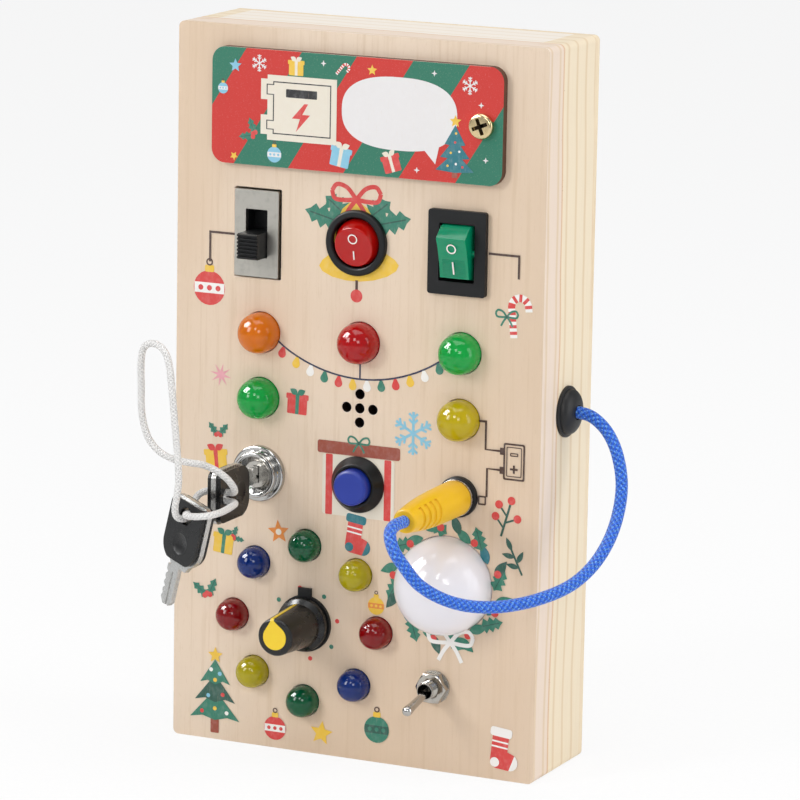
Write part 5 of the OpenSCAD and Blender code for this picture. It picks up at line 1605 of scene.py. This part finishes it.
@dataclass
class SlideSwitch(Assembly):
    """Metal plate with a slot and a ribbed knob.

    Attributes:
        plate: width and height of the plate.
        slot: width and height of its slot.
        knob_width, knob_height, knob_out: sizes of the knob.
        ribs: number of ribs across the knob.
        drop: how far the knob's middle lies under the slot's.
    """
    plate: Point = (16.5, 29.8)
    slot: Point = (8.2, 16.6)
    knob_width: float = 7.6
    knob_height: float = 8.8
    knob_out: float = 8.2
    ribs: int = 7
    drop: float = 3.6

    def build(self) -> None:
        """Makes the plate and the knob and dresses the body."""
        seat = on_front(SIZE.slide, SIZE.switches)
        plate = Form()
        plate.prism(rounded(*self.plate, 0.6, 0, 0, 5), -1, 1, [rounded(*self.slot, 0.3, 0, 0, 3)])
        plate.soften(0.22, lambda p: p.z > 0.9, 2)
        plate.piece("slide_plate_steel", (SATIN_STEEL,), "board", seat, ["slide_plate"], "steel")
        dress_node("slide_body", BLACK)
        self.knob(seat @ moved(0, -self.drop))

    def knob(self, seat: Matrix) -> None:
        """Knob whose ribs run across its front and over its upper and lower ends."""
        half, pitch = self.knob_height / 2, self.knob_height / self.ribs
        top = self.knob_out
        teeth: list[Point] = []
        for i in range(self.ribs):
            y = -half + i * pitch
            teeth += [(y + 0.1 * pitch, top - 0.7), (y + 0.3 * pitch, top),
                      (y + 0.7 * pitch, top), (y + 0.9 * pitch, top - 0.7)]
        side = [(-half, -5.95), (-half, top - 0.7), *teeth, (half, top - 0.7), (half, -5.95)]
        shape = Form()
        shape.prism(side, -self.knob_width / 2, self.knob_width / 2)
        shape.turn(SIDEWAYS)
        shape.soften(0.14, None, 2, 30)
        shape.piece("slide_knob_ribbed", (BLACK_SATIN,), "slider", seat, ["slide_knob"],
                    "black_plastic", 30)


@dataclass
class RoundRocker(Assembly):
    """Round rocker switch with a clear red rocker.

    Attributes:
        rim: radius of the rim.
        rim_high: its height.
        bore: radius of the opening.
        body: radius of the body.
        face: radius of the rocker's face.
        face_high: its height over the pivot.
        pivot: height of the pivot over the panel.
        tilt: lean at rest in degrees, upper end out.
    """
    rim: float = 11.2
    rim_high: float = 2.0
    bore: float = 8.6
    body: float = 9.8
    face: float = 7.0
    face_high: float = 5.4
    pivot: float = -2.0
    tilt: float = 12.0

    def build(self) -> None:
        """Makes the housing and the rocker with its marks."""
        seat = on_front(SIZE.upper, SIZE.switches)
        r, b = self.rim, self.bore
        housing = Form().revolve([
            (0, -18), (self.body, -18), (self.body, 0), (r, 0), *arc((r - 0.9, 1.1), 0.9, 0, 90, 6),
            (b + 0.5, self.rim_high), (b, self.rim_high - 0.5), (b, -13), (0, -13)], 0.08, 96)
        housing.piece("round_switch_housing", (BLACK,), "board", seat, ["round_housing"],
                      "black_plastic", 40)
        ball, face = b - 0.3, self.face
        rocker = Form().revolve([
            (0, ball * math.sin(math.radians(-32))), *arc((0, 0), ball, -32, 20, 14),
            (face, self.face_high - 0.4), *arc((face - 0.5, self.face_high - 0.5), 0.5, 10, 90, 4),
            (face - 1.4, self.face_high - 0.12), (0, self.face_high - 0.3)], 0.0, 96)
        pin = Form().revolve([(0, -9.7), (1.2, -9.7), (1.2, 9.7), (0, 9.7)], 0.15, 24)
        rocker.join(pin, turned(90, "Y"))
        tilted = seat @ moved(0, 0, self.pivot) @ turned(self.tilt, "X")
        rocker.piece("round_rocker_clear", (LENS["rocker_red"],), "round_rocker", tilted,
                     ["round_rocker"], "rocker_red", 40)
        marks = Print("round_rocker_marks", self.face_high + 0.03)
        marks.area("white", circle(0, 2.9, 1.75, 32), [circle(0, 2.9, 1.35, 32)])
        marks.area("white", rounded(0.5, 3.2, 0.2, 0, -2.9, 3))
        marks.finish("round_rocker", tilted)


@dataclass
class SquareRocker(Assembly):
    """Square rocker switch with a clear green rocker.

    Attributes:
        rim: width and height of the rim.
        opening: width and height of the opening.
        body: width and height of the body.
        width: width of the rocker.
        corner: half height and rise of its face over the pivot.
        hollow: depth of the face's hollow.
        pivot: height of the pivot over the panel.
        tilt: lean at rest in degrees, upper end out.
    """
    rim: Point = (21.1, 28.6)
    opening: Point = (13.0, 19.6)
    body: Point = (18.2, 24.8)
    width: float = 10.6
    corner: Point = (7.2, 5.2)
    hollow: float = 0.5
    pivot: float = 0.3
    tilt: float = 16.0

    def profile(self) -> list[Point]:
        """Side view of the rocker: (height on the board, out) from its pivot."""
        ball, (cy, cz) = 9.5, self.corner
        face = [(cy - 2 * cy * t / 20, cz - self.hollow * (1 - (t / 10 - 1) ** 2))
                for t in range(21)]
        return arc((0, 0), ball, -28, 4, 5) + face + arc((0, 0), ball, 176, 208, 5)

    def build(self) -> None:
        """Makes the housing and the rocker with its ribs and marks."""
        seat = on_front(SIZE.square, SIZE.switches)
        hole = rounded(*self.opening, 0.5, 0, 0, 4)
        housing = Form()
        housing.prism(rounded(*self.rim, 1.0, 0, 0, 6), 0, 2.0, [hole])
        housing.soften(0.35, lambda p: p.z > 1.9, 2)
        lower = Form()
        lower.prism(rounded(*self.body, 0.4, 0, 0, 3), -13, 0.0, [hole])
        lower.prism(rounded(*self.body, 0.4, 0, 0, 3), -18, -13.0)
        housing.join(lower)
        housing.piece("square_switch_housing", (BLACK,), "board", seat, ["rect_housing"],
                      "black_plastic", 30)
        rocker = Form()
        rocker.prism(self.profile(), -self.width / 2, self.width / 2)
        rocker.soften(0.18, None, 2, 30)
        rocker.join(Form().revolve([(0, -7.95), (1.2, -7.95), (1.2, 7.95), (0, 7.95)], 0.1, 24))
        rocker.turn(SIDEWAYS)
        for i in range(13):
            y = -6.6 + 0.48 * i
            z = self.corner[1] - self.hollow * (1 - (y / self.corner[0]) ** 2)
            rocker.block((self.width - 2.4, 0.2, 0.12), (0, y, z + 0.03), 0.02)
        tilted = seat @ moved(0, 0, self.pivot) @ turned(self.tilt, "X")
        rocker.piece("square_rocker_clear", (LENS["rocker_green"],), "rect_rocker", tilted,
                     ["rect_rocker"], "rocker_green", 30)
        marks = Print("square_rocker_marks", self.corner[1] + 0.06)
        marks.area("white", circle(0, 3.6, 1.75, 32), [circle(0, 3.6, 1.3, 32)])
        marks.area("white", rounded(0.55, 4.6, 0.2, 0, -3.4, 3))
        marks.finish("rect_rocker", tilted)


# ---------------------------------------------------------------- lamps, speaker, globe

def hollow_cap(diameter: float, rise: float, wall: float,
               steps: tuple[int, int, int]) -> Form:
    """Thin-walled ball on a neck, with its flange behind the panel.

    Args:
        diameter: diameter of the ball.
        rise: height of its centre over the panel.
        wall: thickness.
        steps: chords outside, chords inside, facets round it.
    Returns:
        The form.
    """
    r, low = diameter / 2, -SIZE.panel - 1.2
    inner, (outside, inside, facets) = r - wall, steps
    return Form().revolve([
        (inner, low), (r + 2, low), (r + 2, -SIZE.panel), (r, -SIZE.panel),
        *arc((0, rise), r, 0, 90, outside), (0.0, rise + inner),
        *arc((0, rise), inner, 90, 0, inside)[1:], (inner, low)], 0.0, facets)


@dataclass
class Lamps(Assembly):
    """Large and small lamps, the circuit behind them and the speaker.

    Attributes:
        large, small: diameters of the caps.
        large_rise, small_rise: heights of the balls' centres over the panel.
        wall: wall of a cap.
    """
    large: float = 13.9
    small: float = 10.9
    large_rise: float = 2.6
    small_rise: float = 2.1
    wall: float = 1.2

    def build(self) -> None:
        """Makes all caps and dresses the circuit."""
        s = SIZE
        rows = {"orange": [(s.left, s.upper_lamps)], "red": [(s.middle, s.upper_lamps)],
                "yellow": [(s.right, s.lower_lamps)],
                "green": [(s.right, s.upper_lamps), (s.left, s.lower_lamps)]}
        for name, places in rows.items():
            shape = Form()
            for x, z in places:
                shape.join(hollow_cap(self.large, self.large_rise, self.wall, (20, 16, 64)),
                           moved(x, z))
            node = "lamps_green" if name == "green" else f"lamp_{name}"
            shape.piece(f"cap_{name}", (LENS[name],), "board", on_front(), [node],
                        f"lamp_{name}", 40)
        for first, name in enumerate(("green", "blue", "red", "yellow")):
            shape = Form()
            for i in (first, first + 4):
                shape.join(hollow_cap(self.small, self.small_rise, self.wall, (20, 16, 64)),
                           moved(*s.ring_place(i)))
            shape.piece(f"ring_caps_{name}", (LENS[f"small_{name}"],), "board", on_front(),
                        [f"ring_lamps_{name}"], f"small_{name}", 40)
        dress_node("circuit_boards", CIRCUIT, 0.15)
        dress_node("leds", LED_CLEAR)
        dress_node("board_pillars", WHITE_PLASTIC)
        dress_node("speaker", CONE)
        dress_node("terminals", TIN, 0.1)


@dataclass
class Globe(Assembly):
    """White blown globe and the cup behind it.

    Attributes:
        diameter: diameter of the globe.
        rise: height of its centre over the panel.
        wall: its thickness.
    """
    diameter: float = 33.4
    rise: float = 2.5
    wall: float = 1.2

    def build(self) -> None:
        """Makes the globe and dresses the cup."""
        shape = hollow_cap(self.diameter, self.rise, self.wall, (32, 24, 112))
        shape.piece("globe_opal", (OPAL,), "board", on_front(*SIZE.globe), ["globe"],
                    "milk_white", 40)
        dress_node("globe_base", WHITE_PLASTIC)


# ---------------------------------------------------------------- lock and keys

@dataclass
class Lock(Assembly):
    """Stepped chrome ring with a turning cylinder.

    Attributes:
        rim, ring: radii of the rim and of the raised ring.
        ring_out: height of the raised ring.
        rotor: radius of the cylinder.
        rotor_face: height of its face.
        keyway: width and height of its slot.
        body: radius of the body behind the panel.
    """
    rim: float = 9.75
    ring: float = 7.9
    ring_out: float = 4.8
    rotor: float = 4.7
    rotor_face: float = 2.6
    keyway: Point = (2.2, 6.0)
    body: float = 7.8

    def build(self) -> None:
        """Makes the body and the cylinder."""
        seat = on_front(SIZE.left, SIZE.controls)
        bore = self.rotor + 0.05
        body = Form().revolve([
            (0, -20), (self.body, -20), (self.body, 0), (self.rim, 0),
            *arc((self.rim - 0.8, 1.2), 0.8, 0, 90),
            (self.ring + 0.15, 2.0), (self.ring, 2.15),
            *arc((self.ring - 0.6, self.ring_out - 0.6), 0.6, 0, 90),
            (self.rotor + 2.0, self.ring_out), (self.rotor + 1.8, self.ring_out - 0.15),
            (bore + 0.2, self.rotor_face + 0.1), (bore, self.rotor_face - 0.1),
            (bore, self.rotor_face - 18.05), (0, self.rotor_face - 18.05)], 0.0, 112)
        body.piece("lock_body_chrome", (CHROME,), "board", seat, ["lock_body"], "chrome", 40)
        rotor = Form().revolve([(0, self.rotor_face - 18), (self.rotor, self.rotor_face - 18),
                                (self.rotor, self.rotor_face - 0.15),
                                (self.rotor - 0.15, self.rotor_face), (0, self.rotor_face)], 0, 72)
        rotor.carve(Form().block((*self.keyway, 10), (0, 0, self.rotor_face - 2.6)))
        rotor.soften(0.12, lambda p: p.z > self.rotor_face - 0.1, 1, 50)
        rotor.piece("lock_cylinder", (NICKEL,), "rotor", seat, ["lock_rotor"], "nickel", 30)
        dress_node("panel_nuts", STEEL, 0.2)


@dataclass
class Key:
    """A key with a steel blank and two plastic halves on its head.

    Attributes:
        blade: length and width of the blade.
        head: length and width of the head.
        blank: thickness of the steel.
        half: thickness of each plastic half.
        drop: distance of the head's middle line from the blade's.
        hole: radius of the cord's hole.
        hole_at: distance of the hole from the shoulder.
        plastic_low: distance of the plastic's lower edge from the shoulder.
        dish, dish_deep, dish_at: ball radius, depth and place of the dimple.
    """
    blade: Point = (14.0, 5.6)
    head: Point = (24.5, 18.6)
    blank: float = 1.8
    half: float = 1.6
    drop: float = 2.5
    hole: float = 3.1
    hole_at: float = 19.0
    plastic_low: float = 2.6
    dish: float = 9.425
    dish_deep: float = 0.8
    dish_at: float = 9.0

    def head_outline(self, inset: float) -> list[Point]:
        """Outline of the head from the shoulder up, drawn in all round."""
        w, top = self.head[1] / 2 - inset, self.head[0] - inset
        end, low, low_y = 3 - inset, 7.5 - inset, 8.8
        shoulder = self.blade[1] / 2 + 1
        points = [(-shoulder, inset), (shoulder, inset)]
        points += arc((w - low, low_y), low, -62, 0, 10)
        points += arc((w - end, top - end), end, 0, 90, 10)
        points += arc((-w + end, top - end), end, 90, 180, 10)
        points += arc((-w + low, low_y), low, 180, 242, 10)
        return points

    def steel_outline(self) -> list[Point]:
        """Outline of the whole blank: blade below the shoulder, head above."""
        length, w = self.blade[0], self.blade[1] / 2
        head = shifted(self.head_outline(0), -self.drop, 0)
        notches: list[Point] = []
        for i in range(4):
            y = -length + 3.4 + 2.6 * i
            notches += [(w, y - 0.9), (w - 0.5 - 0.35 * (i % 2), y), (w, y + 0.9)]
        blade = [(-w, 0), (-w, -length + 1.5), (-w / 2, -length), (w / 2, -length),
                 (w, -length + 2), *notches, (w, 0)]
        return [head[0], *blade, *head[1:]]

    def steel(self) -> Form:
        """The stamped blank with a milled groove along each side of the blade."""
        shape = Form()
        hole = circle(-self.drop, self.hole_at, self.hole, 40)
        shape.prism(self.steel_outline(), -self.blank / 2, self.blank / 2, [hole])
        for side in (-1, 1):
            groove = Form().block((1.1, self.blade[0] - 1.0, 0.8),
                                  (-0.6, -self.blade[0] / 2 - 1.6, side * (self.blank / 2 + 0.05)))
            shape.carve(groove)
        return shape.soften(0.14, None, 2, 50)

    def plastic(self) -> Form:
        """Both moulded halves, each with a round dimple."""
        result = Form()
        outline = [(x, max(y, self.plastic_low))
                   for x, y in shifted(self.head_outline(0.6), -self.drop, 0)]
        for side in (-1, 1):
            inner, outer = self.blank / 2, self.blank / 2 + self.half
            half = Form()
            half.prism(outline, min(side * inner, side * outer), max(side * inner, side * outer),
                       [circle(-self.drop, self.hole_at, self.hole, 40)])
            half.soften(0.5, lambda p, s=side: s * p.z > outer - 0.05, 3)
            dish = Form()
            bmesh.ops.create_uvsphere(dish.bm, u_segments=48, v_segments=96, radius=self.dish)
            dish.turn(moved(-self.drop, self.dish_at,
                            side * (outer + self.dish - self.dish_deep)))
            half.carve(dish)
            result.join(half)
        return result


@dataclass
class Keys(Assembly):
    """The key in the lock and the spare key that hangs beside it.

    Attributes:
        out: distance of the first key's shoulder from the panel.
        spare_place: place of the spare key's hole in the row frame.
        spare_turn: turn of the spare key about its hanging line.
        spare_lean: its lean to the left.
    """
    out: float = 10.0
    spare_place: Place = (-39.5, -64.5, 89.5)
    spare_turn: float = -24.0
    spare_lean: float = 13.0

    def build(self) -> None:
        """Makes both keys."""
        key = Key()
        in_lock = on_front(SIZE.left, SIZE.controls) @ moved(0, 0, self.out) @ SIDEWAYS
        hanging = (moved(*self.spare_place) @ turned(self.spare_lean, "Y")
                   @ turned(self.spare_turn + 90, "Z") @ moved(0, key.drop, -key.hole_at)
                   @ SIDEWAYS)
        for name, body, seat in (("key", "key", in_lock), ("spare_key", "spare_key", hanging)):
            key.steel().piece(f"{name}_steel", (KEY_STEEL,), body, seat, [f"{name}_blank"],
                              "steel", 40)
            key.plastic().piece(f"{name}_head", (BLACK_GLOSS,), body, seat, [f"{name}_halves"],
                                "black_gloss", 35)


# ---------------------------------------------------------------- button, plug, grommet

@dataclass
class PushButton(Assembly):
    """Blue push button in a black conical rim.

    Attributes:
        rim, rim_out: radius and height of the rim.
        cap, cap_out: radius and height of the cap.
        soft: rounding of the cap's edge.
        body: radius of the body behind the panel.
    """
    rim: float = 9.75
    rim_out: float = 4.0
    cap: float = 6.2
    cap_out: float = 7.5
    soft: float = 1.4
    body: float = 8.4

    def build(self) -> None:
        """Makes the housing and the cap and dresses the spring."""
        seat = on_front(SIZE.middle, SIZE.controls)
        bore, flange = self.cap + 0.3, self.cap + 0.9
        housing = Form().revolve([
            (0, -18), (self.body, -18), (self.body, 0), (self.rim, 0), (self.rim, 0.9),
            (bore + 1.0, self.rim_out), (bore, self.rim_out), (bore, -4.95),
            (flange + 0.3, -4.95), (flange + 0.3, -13), (0, -13)], 0.2, 96)
        housing.piece("button_rim_black", (BLACK_SATIN,), "board", seat, ["button_housing"],
                      "black_plastic", 40)
        r, top = self.cap, self.cap_out
        cap = Form().revolve([
            (0, -6), (flange, -6), (flange, -5), (r, -5),
            *arc((r - self.soft, top - self.soft), self.soft, 0, 90, 8),
            (0.6 * r, top - 0.06), (0, top - 0.12)], 0.0, 80)
        cap.piece("button_cap_blue", (BLUE_CAP,), "button", seat, ["button_cap"],
                  "button_blue", 40)
        self.spring(seat)

    def spring(self, seat: Matrix) -> None:
        """Wound spring between floor and cap.

        Args:
            seat: the button's place on the panel.
        """
        wire, radius, turns, steps, floor = 0.35, 4.0, 5, 32, -13.0
        low, high = floor + 0.4, -6.4
        shape = Form()
        ring = bmesh.ops.create_circle(shape.bm, segments=10, radius=wire)["verts"]
        bmesh.ops.transform(shape.bm, matrix=moved(radius, 0, low) @ turned(90, "X"), verts=ring)
        bmesh.ops.spin(shape.bm, geom=list(shape.bm.verts) + list(shape.bm.edges),
                       cent=(0, 0, 0), axis=(0, 0, 1),
                       dvec=(0, 0, (high - low) / (turns * steps)),
                       angle=2 * math.pi * turns, steps=turns * steps, use_duplicate=False)
        bmesh.ops.holes_fill(shape.bm, edges=shape.bm.edges, sides=0)
        coil = shape.piece("button_spring_wound", (STEEL,), "board", seat, ["button_spring"],
                           None, 60)
        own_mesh(coil)


@dataclass
class Plug(Assembly):
    """Jack in the panel, and the yellow plug on the blue cord.

    Attributes:
        jack: radius of the jack's ring.
        jack_high: its height.
        barrel: radius of the plug's barrel.
        handle: largest radius of the handle.
        length: length of the handle.
        grooves: grip grooves on each side.
        groove_pitch: distance from one groove to the next.
        tail: radius of the handle's end.
        socket: radius of the jack's body in the panel.
        made: the plug's finished pieces.
    """
    jack: float = 7.0
    jack_high: float = 2.2
    barrel: float = 2.75
    handle: float = 6.15
    length: float = 40.0
    grooves: int = 4
    groove_pitch: float = 3.6
    tail: float = 3.45
    socket: float = 5.6
    made: list = field(default_factory=list)

    def radius(self, share: float) -> float:
        """Radius of the handle at a share of its length."""
        return self.handle * (1 - 0.37 * share ** 3.2)

    def grip(self) -> Form:
        """The tapering handle with curved grooves on its left and right."""
        start, soft = self.jack_high + 1.2, 1.2
        end = self.radius(0.95) - soft
        profile = [(0, 0), (self.handle - 0.6, 0), *arc((self.handle - 0.6, 0.6), 0.6, -70, 0, 5)]
        profile += [(self.radius(0.95 * i / 24), 0.95 * i / 24 * self.length)
                    for i in range(1, 25)]
        profile += arc((end, 0.97 * self.length), soft, 20, 80, 6)
        profile += [(self.tail, self.length), (0, self.length)]
        shape = Form().revolve(profile, 0.0, 96)
        for i in range(self.grooves):
            z = 0.9 * self.length - (i + 0.5) * self.groove_pitch
            r = self.radius(z / self.length)
            for angle in (0, 180):
                cutter = Form().revolve(
                    [(p + r, q + z) for p, q in circle(0, 0, 0.85, 16)] + [(r + 0.85, z)],
                    0.0, 40, angle=110)
                bmesh.ops.holes_fill(cutter.bm, edges=cutter.bm.edges, sides=0)
                shape.carve(cutter.turn(turned(angle - 55, "Z")))
        return shape.turn(moved(0, 0, start))

    def build(self) -> None:
        """Makes jack, barrel and handle."""
        seat = on_front(SIZE.right, SIZE.controls)
        bore, r, h = self.barrel + 0.05, self.jack, self.jack_high
        ring = Form().revolve([(bore, 0), (r, 0), *arc((r - 0.8, h - 0.8), 0.8, 0, 90),
                               (bore + 0.4, h), (bore, h - 0.3), (bore, 0)], 0.0, 80)
        ring.piece("jack_ring_black", (BLACK,), "board", seat, ["jack_ring"], "black_plastic", 40)
        dress_node("jack_socket", NICKEL)
        low, collar = h - 10, self.handle + 0.2
        barrel = Form().revolve([
            (0, low), (self.barrel - 0.8, low), (self.barrel, low + 1.2), (self.barrel, h),
            (collar, h), (collar, h + 1.2), (0, h + 1.2)], 0.12, 72)
        handle = self.grip()
        self.made = [
            barrel.piece("plug_barrel_nickel", (NICKEL,), "plug", seat, ["plug_barrel"],
                         "nickel", 40),
            handle.piece("plug_grip", (YELLOW,), "plug", seat, ["plug_handle"],
                         "plug_yellow", 38)]


@dataclass
class Grommet(Assembly):
    """Rubber grommet on the right side, and the clamp behind it.

    Attributes:
        radius: radius of the dome.
        out: height of the dome.
        bore: radius of the cord's hole.
    """
    radius: float = 8.75
    out: float = 4.5
    bore: float = 2.55

    def build(self) -> None:
        """Makes the dome with its neck and lip."""
        r, b = self.radius, self.bore
        dome = [(b + (r - 0.9 - b) * math.cos(math.radians(9 * i)),
                 1.2 + (self.out - 1.2) * math.sin(math.radians(9 * i))) for i in range(1, 11)]
        shape = Form().revolve([
            (b, -9.5), (6.4, -9.5), (6.4, -8), (5.4, -8), (5.4, 0), (r, 0), (r, 0.8),
            (r - 0.3, 1.15), (r - 0.9, 1.2), *dome, (b, -9.5)], 0.0, 80)
        shape.piece("grommet_rubber", (RUBBER,), "board", on_side(), ["grommet"], "rubber", 40)
        dress_node("cord_anchor", WHITE_PLASTIC)


# ---------------------------------------------------------------- knob and toggle

@dataclass
class Knob(Assembly):
    """Black pointer knob with a yellow teardrop and line.

    Attributes:
        skirt, body, top: radii of the skirt, of the body above it and of the top.
        low, out: heights of the knob's underside and of its top.
        pointer: direction of the pointer in degrees from the right.
        line: width of the pointer's line.
        proud: how far the inlay stands out.
        neck: radius of the rotary switch's neck.
    """
    skirt: float = 9.3
    body: float = 7.6
    top: float = 6.5
    low: float = 1.6
    out: float = 23.5
    pointer: float = 100.0
    line: float = 1.3
    proud: float = 0.15
    neck: float = 5.0

    def profile(self, grow: float) -> list[Point]:
        """Side view of the knob, grown by that much."""
        low, g = self.low, grow
        return [(0, low - g), (self.skirt + g, low - g), (self.skirt + g, low + 2),
                (self.body + g, low + 3.6),
                *arc((self.top - 1, self.out - 1), 1 + g, 5, 90, 6), (0, self.out + g)]

    def drop(self, grow: float) -> list[Point]:
        """Outline of the teardrop on the top, its tip along +x."""
        r = 0.66 * self.top + grow
        inner = self.top - 0.8
        tip = self.line / 2 + grow
        return arc((0, 0), r, 50, 310, 32) + [(inner, -tip), (inner, tip)]

    def inlay(self, grow: float) -> Form:
        """Teardrop and line; the line follows the knob's side."""
        shape = Form()
        shape.prism(self.drop(grow), self.out - 0.6 - grow, self.out + self.proud)
        side = Form()
        outer, inner = self.profile(self.proud)[2:-1], self.profile(-0.6 - grow)[2:-1]
        cut = self.low + 3.6 - grow
        start = self.top - 1.4 - grow
        loop = [p for p in outer if p[0] > start] + [(start, self.out + self.proud)]
        loop = [(self.body + self.proud, cut), *loop[2:], (start, self.out - 0.6 - grow)]
        loop += [p for p in inner[2:][::-1] if p[0] > start]
        loop += [(self.body - 0.6 - grow, cut)]
        side.prism(loop, -self.line / 2 - grow, self.line / 2 + grow)
        shape.carve(side.turn(turned(90, "X")), "UNION")
        return shape.turn(turned(self.pointer, "Z"))

    def build(self) -> None:
        """Makes knob, inlay and collar and dresses shaft and switch."""
        seat = on_front(*SIZE.dial)
        points = self.profile(0)
        shape = Form().revolve(points, 0.25, 128)
        shape.carve(Form().revolve([(0, 0), (3.05, 0), (3.05, self.out - 4.95),
                                    (0, self.out - 4.95)], 0, 48))
        shape.carve(self.inlay(0.05))
        shape.piece("knob_black", (BLACK_GLOSS,), "dial", seat, ["dial_knob"], "black_gloss", 35)
        inlay = self.inlay(0)
        inlay.soften(0.07, lambda p: p.z > 5, 1, 50)
        inlay.piece("knob_pointer", (YELLOW_INLAY,), "dial", seat, ["dial_inlay"],
                    "inlay_yellow", 30)
        collar = Form()
        disc = arc((0, 0), 9.9, 104.6, 435.4, 72)
        collar.prism(disc + [(2.5, 12.5), (-2.5, 12.5)], 0, 1.2,
                     [circle(0, 0, self.neck + 0.05, 48)])
        collar.soften(0.25, lambda p: p.z > 1.1, 2)
        collar.piece("knob_collar", (BLACK,), "board", seat, ["dial_collar"], "black_plastic", 30)
        dress_node("dial_shaft", STEEL)
        dress_node("rotary_switch", GREY_PLASTIC, 0.3)


@dataclass
class Toggle(Assembly):
    """Toggle switch: threaded neck, hexagonal nut, washer and lever.

    Attributes:
        nut: width of the nut across its flats.
        nut_high: its height.
        washer: height of the washer.
        neck, neck_out: radius and height of the neck.
        pivot: height of the lever's ball.
        lever, tip: radii of the lever and of its tip.
        reach: distance of the lever's end from the pivot.
        tilt: lean of the lever, downward.
    """
    nut: float = 10.0
    nut_high: float = 3.0
    washer: float = 0.6
    neck: float = 3.0
    neck_out: float = 8.0
    pivot: float = 3.2
    lever: float = 1.25
    tip: float = 1.75
    reach: float = 20.3
    tilt: float = 11.0

    def build(self) -> None:
        """Makes all visible pieces."""
        seat = on_front(*SIZE.toggle)
        r, low = self.neck, -SIZE.panel - 1
        thread: list[Point] = [(r, self.washer + self.nut_high)]
        z = self.washer + self.nut_high + 0.2
        while z < self.neck_out - 0.7:
            thread += [(r, z), (r - 0.28, z + 0.25), (r, z + 0.5)]
            z += 0.5
        mouth, bore = r - 0.4, 1.95
        body = Form().revolve([
            (0, low), (r, low), *thread, (r, self.neck_out - 0.25), (r - 0.2, self.neck_out),
            (mouth, self.neck_out), (bore, self.pivot), (bore, self.pivot - 1.9),
            (0, self.pivot - 1.95)], 0.0, 64)
        body.block((8, 13.2, 9.4), (0, 0, -SIZE.panel - 4.7), 0.3)
        body.piece("toggle_neck", (NICKEL,), "board", seat, ["toggle_body"], "nickel", 30)
        bore = r + 0.05
        half = self.nut / 2
        shape = Form().revolve([(bore, 0), (half + 0.8, 0), (half + 0.8, self.washer),
                                (bore, self.washer), (bore, 0)], 0.1, 64)
        corner = half / math.cos(math.radians(30))
        top = self.washer + self.nut_high
        nut = Form()
        nut.prism(arc((0, 0), corner, 0, 360, 6)[:-1], self.washer, top, [circle(0, 0, bore, 48)])
        cone = Form().revolve([(0, self.washer - 1), (corner + 1.6, self.washer - 1),
                               (corner + 1.6, top - 1.0 - 0.5), (half - 0.25, top + 0.05),
                               (half - 0.25, top + 1), (0, top + 1)], 0.0, 64)
        nut.carve(cone, "INTERSECT")
        nut.soften(0.1, None, 2, 40)
        shape.join(nut)
        shape.piece("toggle_nut_nickel", (NICKEL,), "board", seat, ["toggle_nut"], "nickel", 30)
        ball, neck_top = 1.9, self.neck_out - self.pivot
        lever = Form().revolve([
            *arc((0, 0), ball, -90, 45, 12), (self.lever, ball + 0.1),
            (self.lever, neck_top), (self.lever + 0.12, neck_top + 3),
            (self.tip - 0.25, self.reach - self.tip - 3.2), (self.tip, self.reach - self.tip - 0.8),
            *arc((0, self.reach - self.tip), self.tip, 0, 90, 10)], 0.0, 56)
        lever.piece("toggle_lever_bat", (CHROME,), "toggle",
                    seat @ moved(0, 0, self.pivot) @ turned(self.tilt, "X"),
                    ["toggle_lever"], "nickel", 50)


# ---------------------------------------------------------------- the whole board


def main() -> None:
    """Builds the studio, the cords and every sub-assembly in order."""
    logging.basicConfig(level=logging.INFO, format="%(name)s: %(message)s")
    Studio().build()
    blue = Cord("plug_lead", PLUG_ROUTE, 4.2, "#0a5cda", "#7cc0ff", 2.0, 6)
    loop = Cord("key_loop", LOOP_ROUTE, 2.4, "#eceae7", "#fbfaf8", 1.3, 5, 0.12)
    tie = Cord("key_tie", TIE_ROUTE, 2.4, "#eceae7", "#fbfaf8", 1.3, 5, 0.12)
    for cord in (blue, loop, tie):
        cord.build()
    plug = Plug()
    assemblies: list[Assembly] = [
        plug, Grommet(), Board(), FrontPrint(), BatteryCase(), SlideSwitch(), RoundRocker(),
        SquareRocker(), Lamps(), Globe(), Lock(), Keys(), PushButton(), Knob(), Toggle()]
    for assembly in assemblies:
        assembly.build()
        LOG.info("%s done", type(assembly).__name__)
    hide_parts("plug_cord")
    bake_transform(blue.made)
    for cord in (loop, tie):
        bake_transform(cord.made)
        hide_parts("key_cord")
    blue.declare("plug", "medium", plug.made)
    loop.declare("object", "limp", ())
    tie.declare("object", "limp", ())


if __name__ == "__main__":
    main()
